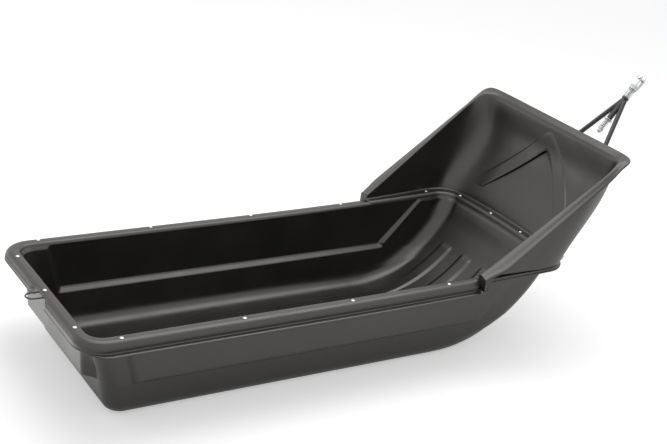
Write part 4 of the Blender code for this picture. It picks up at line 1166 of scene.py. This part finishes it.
plain = [(0.0, 0.5550), (ROD_RADIUS, 0.5550), (ROD_RADIUS, 0.6600), (0.0, 0.6600)]
rod_works = [threaded(0.4865, 0.5560), turned(plain, THREAD_SIDES), threaded(0.6590, 0.7120)]
zinc(made_piece("rod", rod_works, along_bar, 50), "clevis", "tow_rod")
nut = [(NUT_BORE, 0.4903), (0.0072, 0.4903), (0.0082, 0.4908), (0.0086, 0.4920), (0.0088, 0.4929)]
nut += [(NUT_CORNER, 0.4935), (NUT_CORNER, 0.4992), (0.0093, 0.5000), (NUT_BORE, 0.5000), nut[0]]
rod_nut = turned(nut, 60, hexagon(NUT_CORNER))
zinc(made_piece("rod_nut", [rod_nut], along_bar, 25), "clevis", "lock_nut")

# Clevis: a fork of 5 mm plate screwed to the rod's end, with a 10 mm pin through both prongs. A
# spring clip through the pin's cross hole keeps it in.
FORK_REAR, FORK_BASE, FORK_TIP = 0.7023, 0.716, 0.766
FORK_HALF, FORK_BAR, FORK_WIDTH = 0.015, 0.005, 0.024
FORK_INNER_BEND, FORK_OUTER_BEND = 0.006, 0.008
PIN_AT, PIN_RADIUS, PIN_HEAD = 0.751, 0.005, 0.0082
CLIP_DOWN, CLIP_WIRE = -0.019, 0.0009


def fork():
    """The prongs and their base as one bent band, its prong tips rounded."""
    inner, outer = FORK_HALF - FORK_BAR, FORK_HALF
    shoulder = FORK_BASE + FORK_INNER_BEND
    steps = [mix(FORK_TIP, shoulder, k / 12) for k in range(13)]
    half = [((x, inner), (x, outer)) for x in steps]
    for cosine, sine in arc(90, 8, 1):
        half.append((
            (shoulder - FORK_INNER_BEND * sine, inner - FORK_INNER_BEND * (1 - cosine)),
            (shoulder - (shoulder - FORK_REAR) * sine, outer - FORK_OUTER_BEND * (1 - cosine)),
        ))
    half += [((FORK_BASE, 0.003), (FORK_REAR, 0.005)), ((FORK_BASE, 0.0), (FORK_REAR, 0.0))]
    other = [((a, -b), (c, -d)) for (a, b), (c, d) in reversed(half[:-1])]
    rings = []
    for side_in, side_out in [*half, *other]:
        beyond = max(side_in[0] - (FORK_TIP - FORK_WIDTH / 2), 0.0)
        wide = max(sqrt(max((FORK_WIDTH / 2) ** 2 - beyond**2, 0.0)), 0.0035)
        edge = min(0.0006, wide / 4)
        side_in, side_out = Vector(side_in), Vector(side_out)
        rim = (side_out - side_in).normalized() * edge
        ring = [(side_in, -wide + edge), (side_in + rim, -wide), (side_out - rim, -wide)]
        ring += [(side_out, -wide + edge)]
        ring += [(point, -y) for point, y in reversed(ring)]
        rings.append([(point.x, y, point.y) for point, y in ring])
    return skin(rings)


def rounded_line(points, steps):
    """A smooth line through the points."""
    points = [Vector(point) for point in points]
    padded = [2 * points[0] - points[1], *points, 2 * points[-1] - points[-2]]
    line = []
    for a, b, c, d in zip(padded, padded[1:], padded[2:], padded[3:]):
        for k in range(steps):
            t = k / steps
            pull = (c - a) * t + (2 * a - 5 * b + 4 * c - d) * t * t + (3 * b - a - 3 * c + d) * t**3
            line.append(b + pull / 2)
    return [*line, points[-1]]


zinc(made_piece("fork", [fork()], bar_place, 35), "clevis", "clevis_fork")
top = FORK_HALF + CLEAR
pin = [(0.0, top + 0.0045), (0.0066, top + 0.0045), (0.0078, top + 0.0042), (PIN_HEAD, top + 0.0034)]
pin += [(PIN_HEAD, top + 0.0004), (0.0079, top), (PIN_RADIUS, top), (PIN_RADIUS, -0.0230)]
pin += [(0.0046, -0.0236), (0.0038, -0.0242), (0.0, -0.0242)]
pin_place = bar_place @ Matrix.Translation((PIN_AT, 0.0, 0.0))
zinc(made_piece("pin", [turned(pin, 40)], pin_place), "clevis", "clevis_pin")
clip_line = ((-0.013, 0.0), (0.009, 0.0), (0.014, 0.0012), (0.0165, 0.0045), (0.014, 0.0078))
clip_line += ((0.009, 0.0078), (0.0045, 0.0068), (0.0, 0.0064), (-0.005, 0.0068), (-0.009, 0.0085))
clip = swept(rounded_line([(x, y, CLIP_DOWN) for x, y in clip_line], 8), CLIP_WIRE, 12)
zinc(made_piece("clip", [clip], pin_place, 60), "clip", "pin_clip")
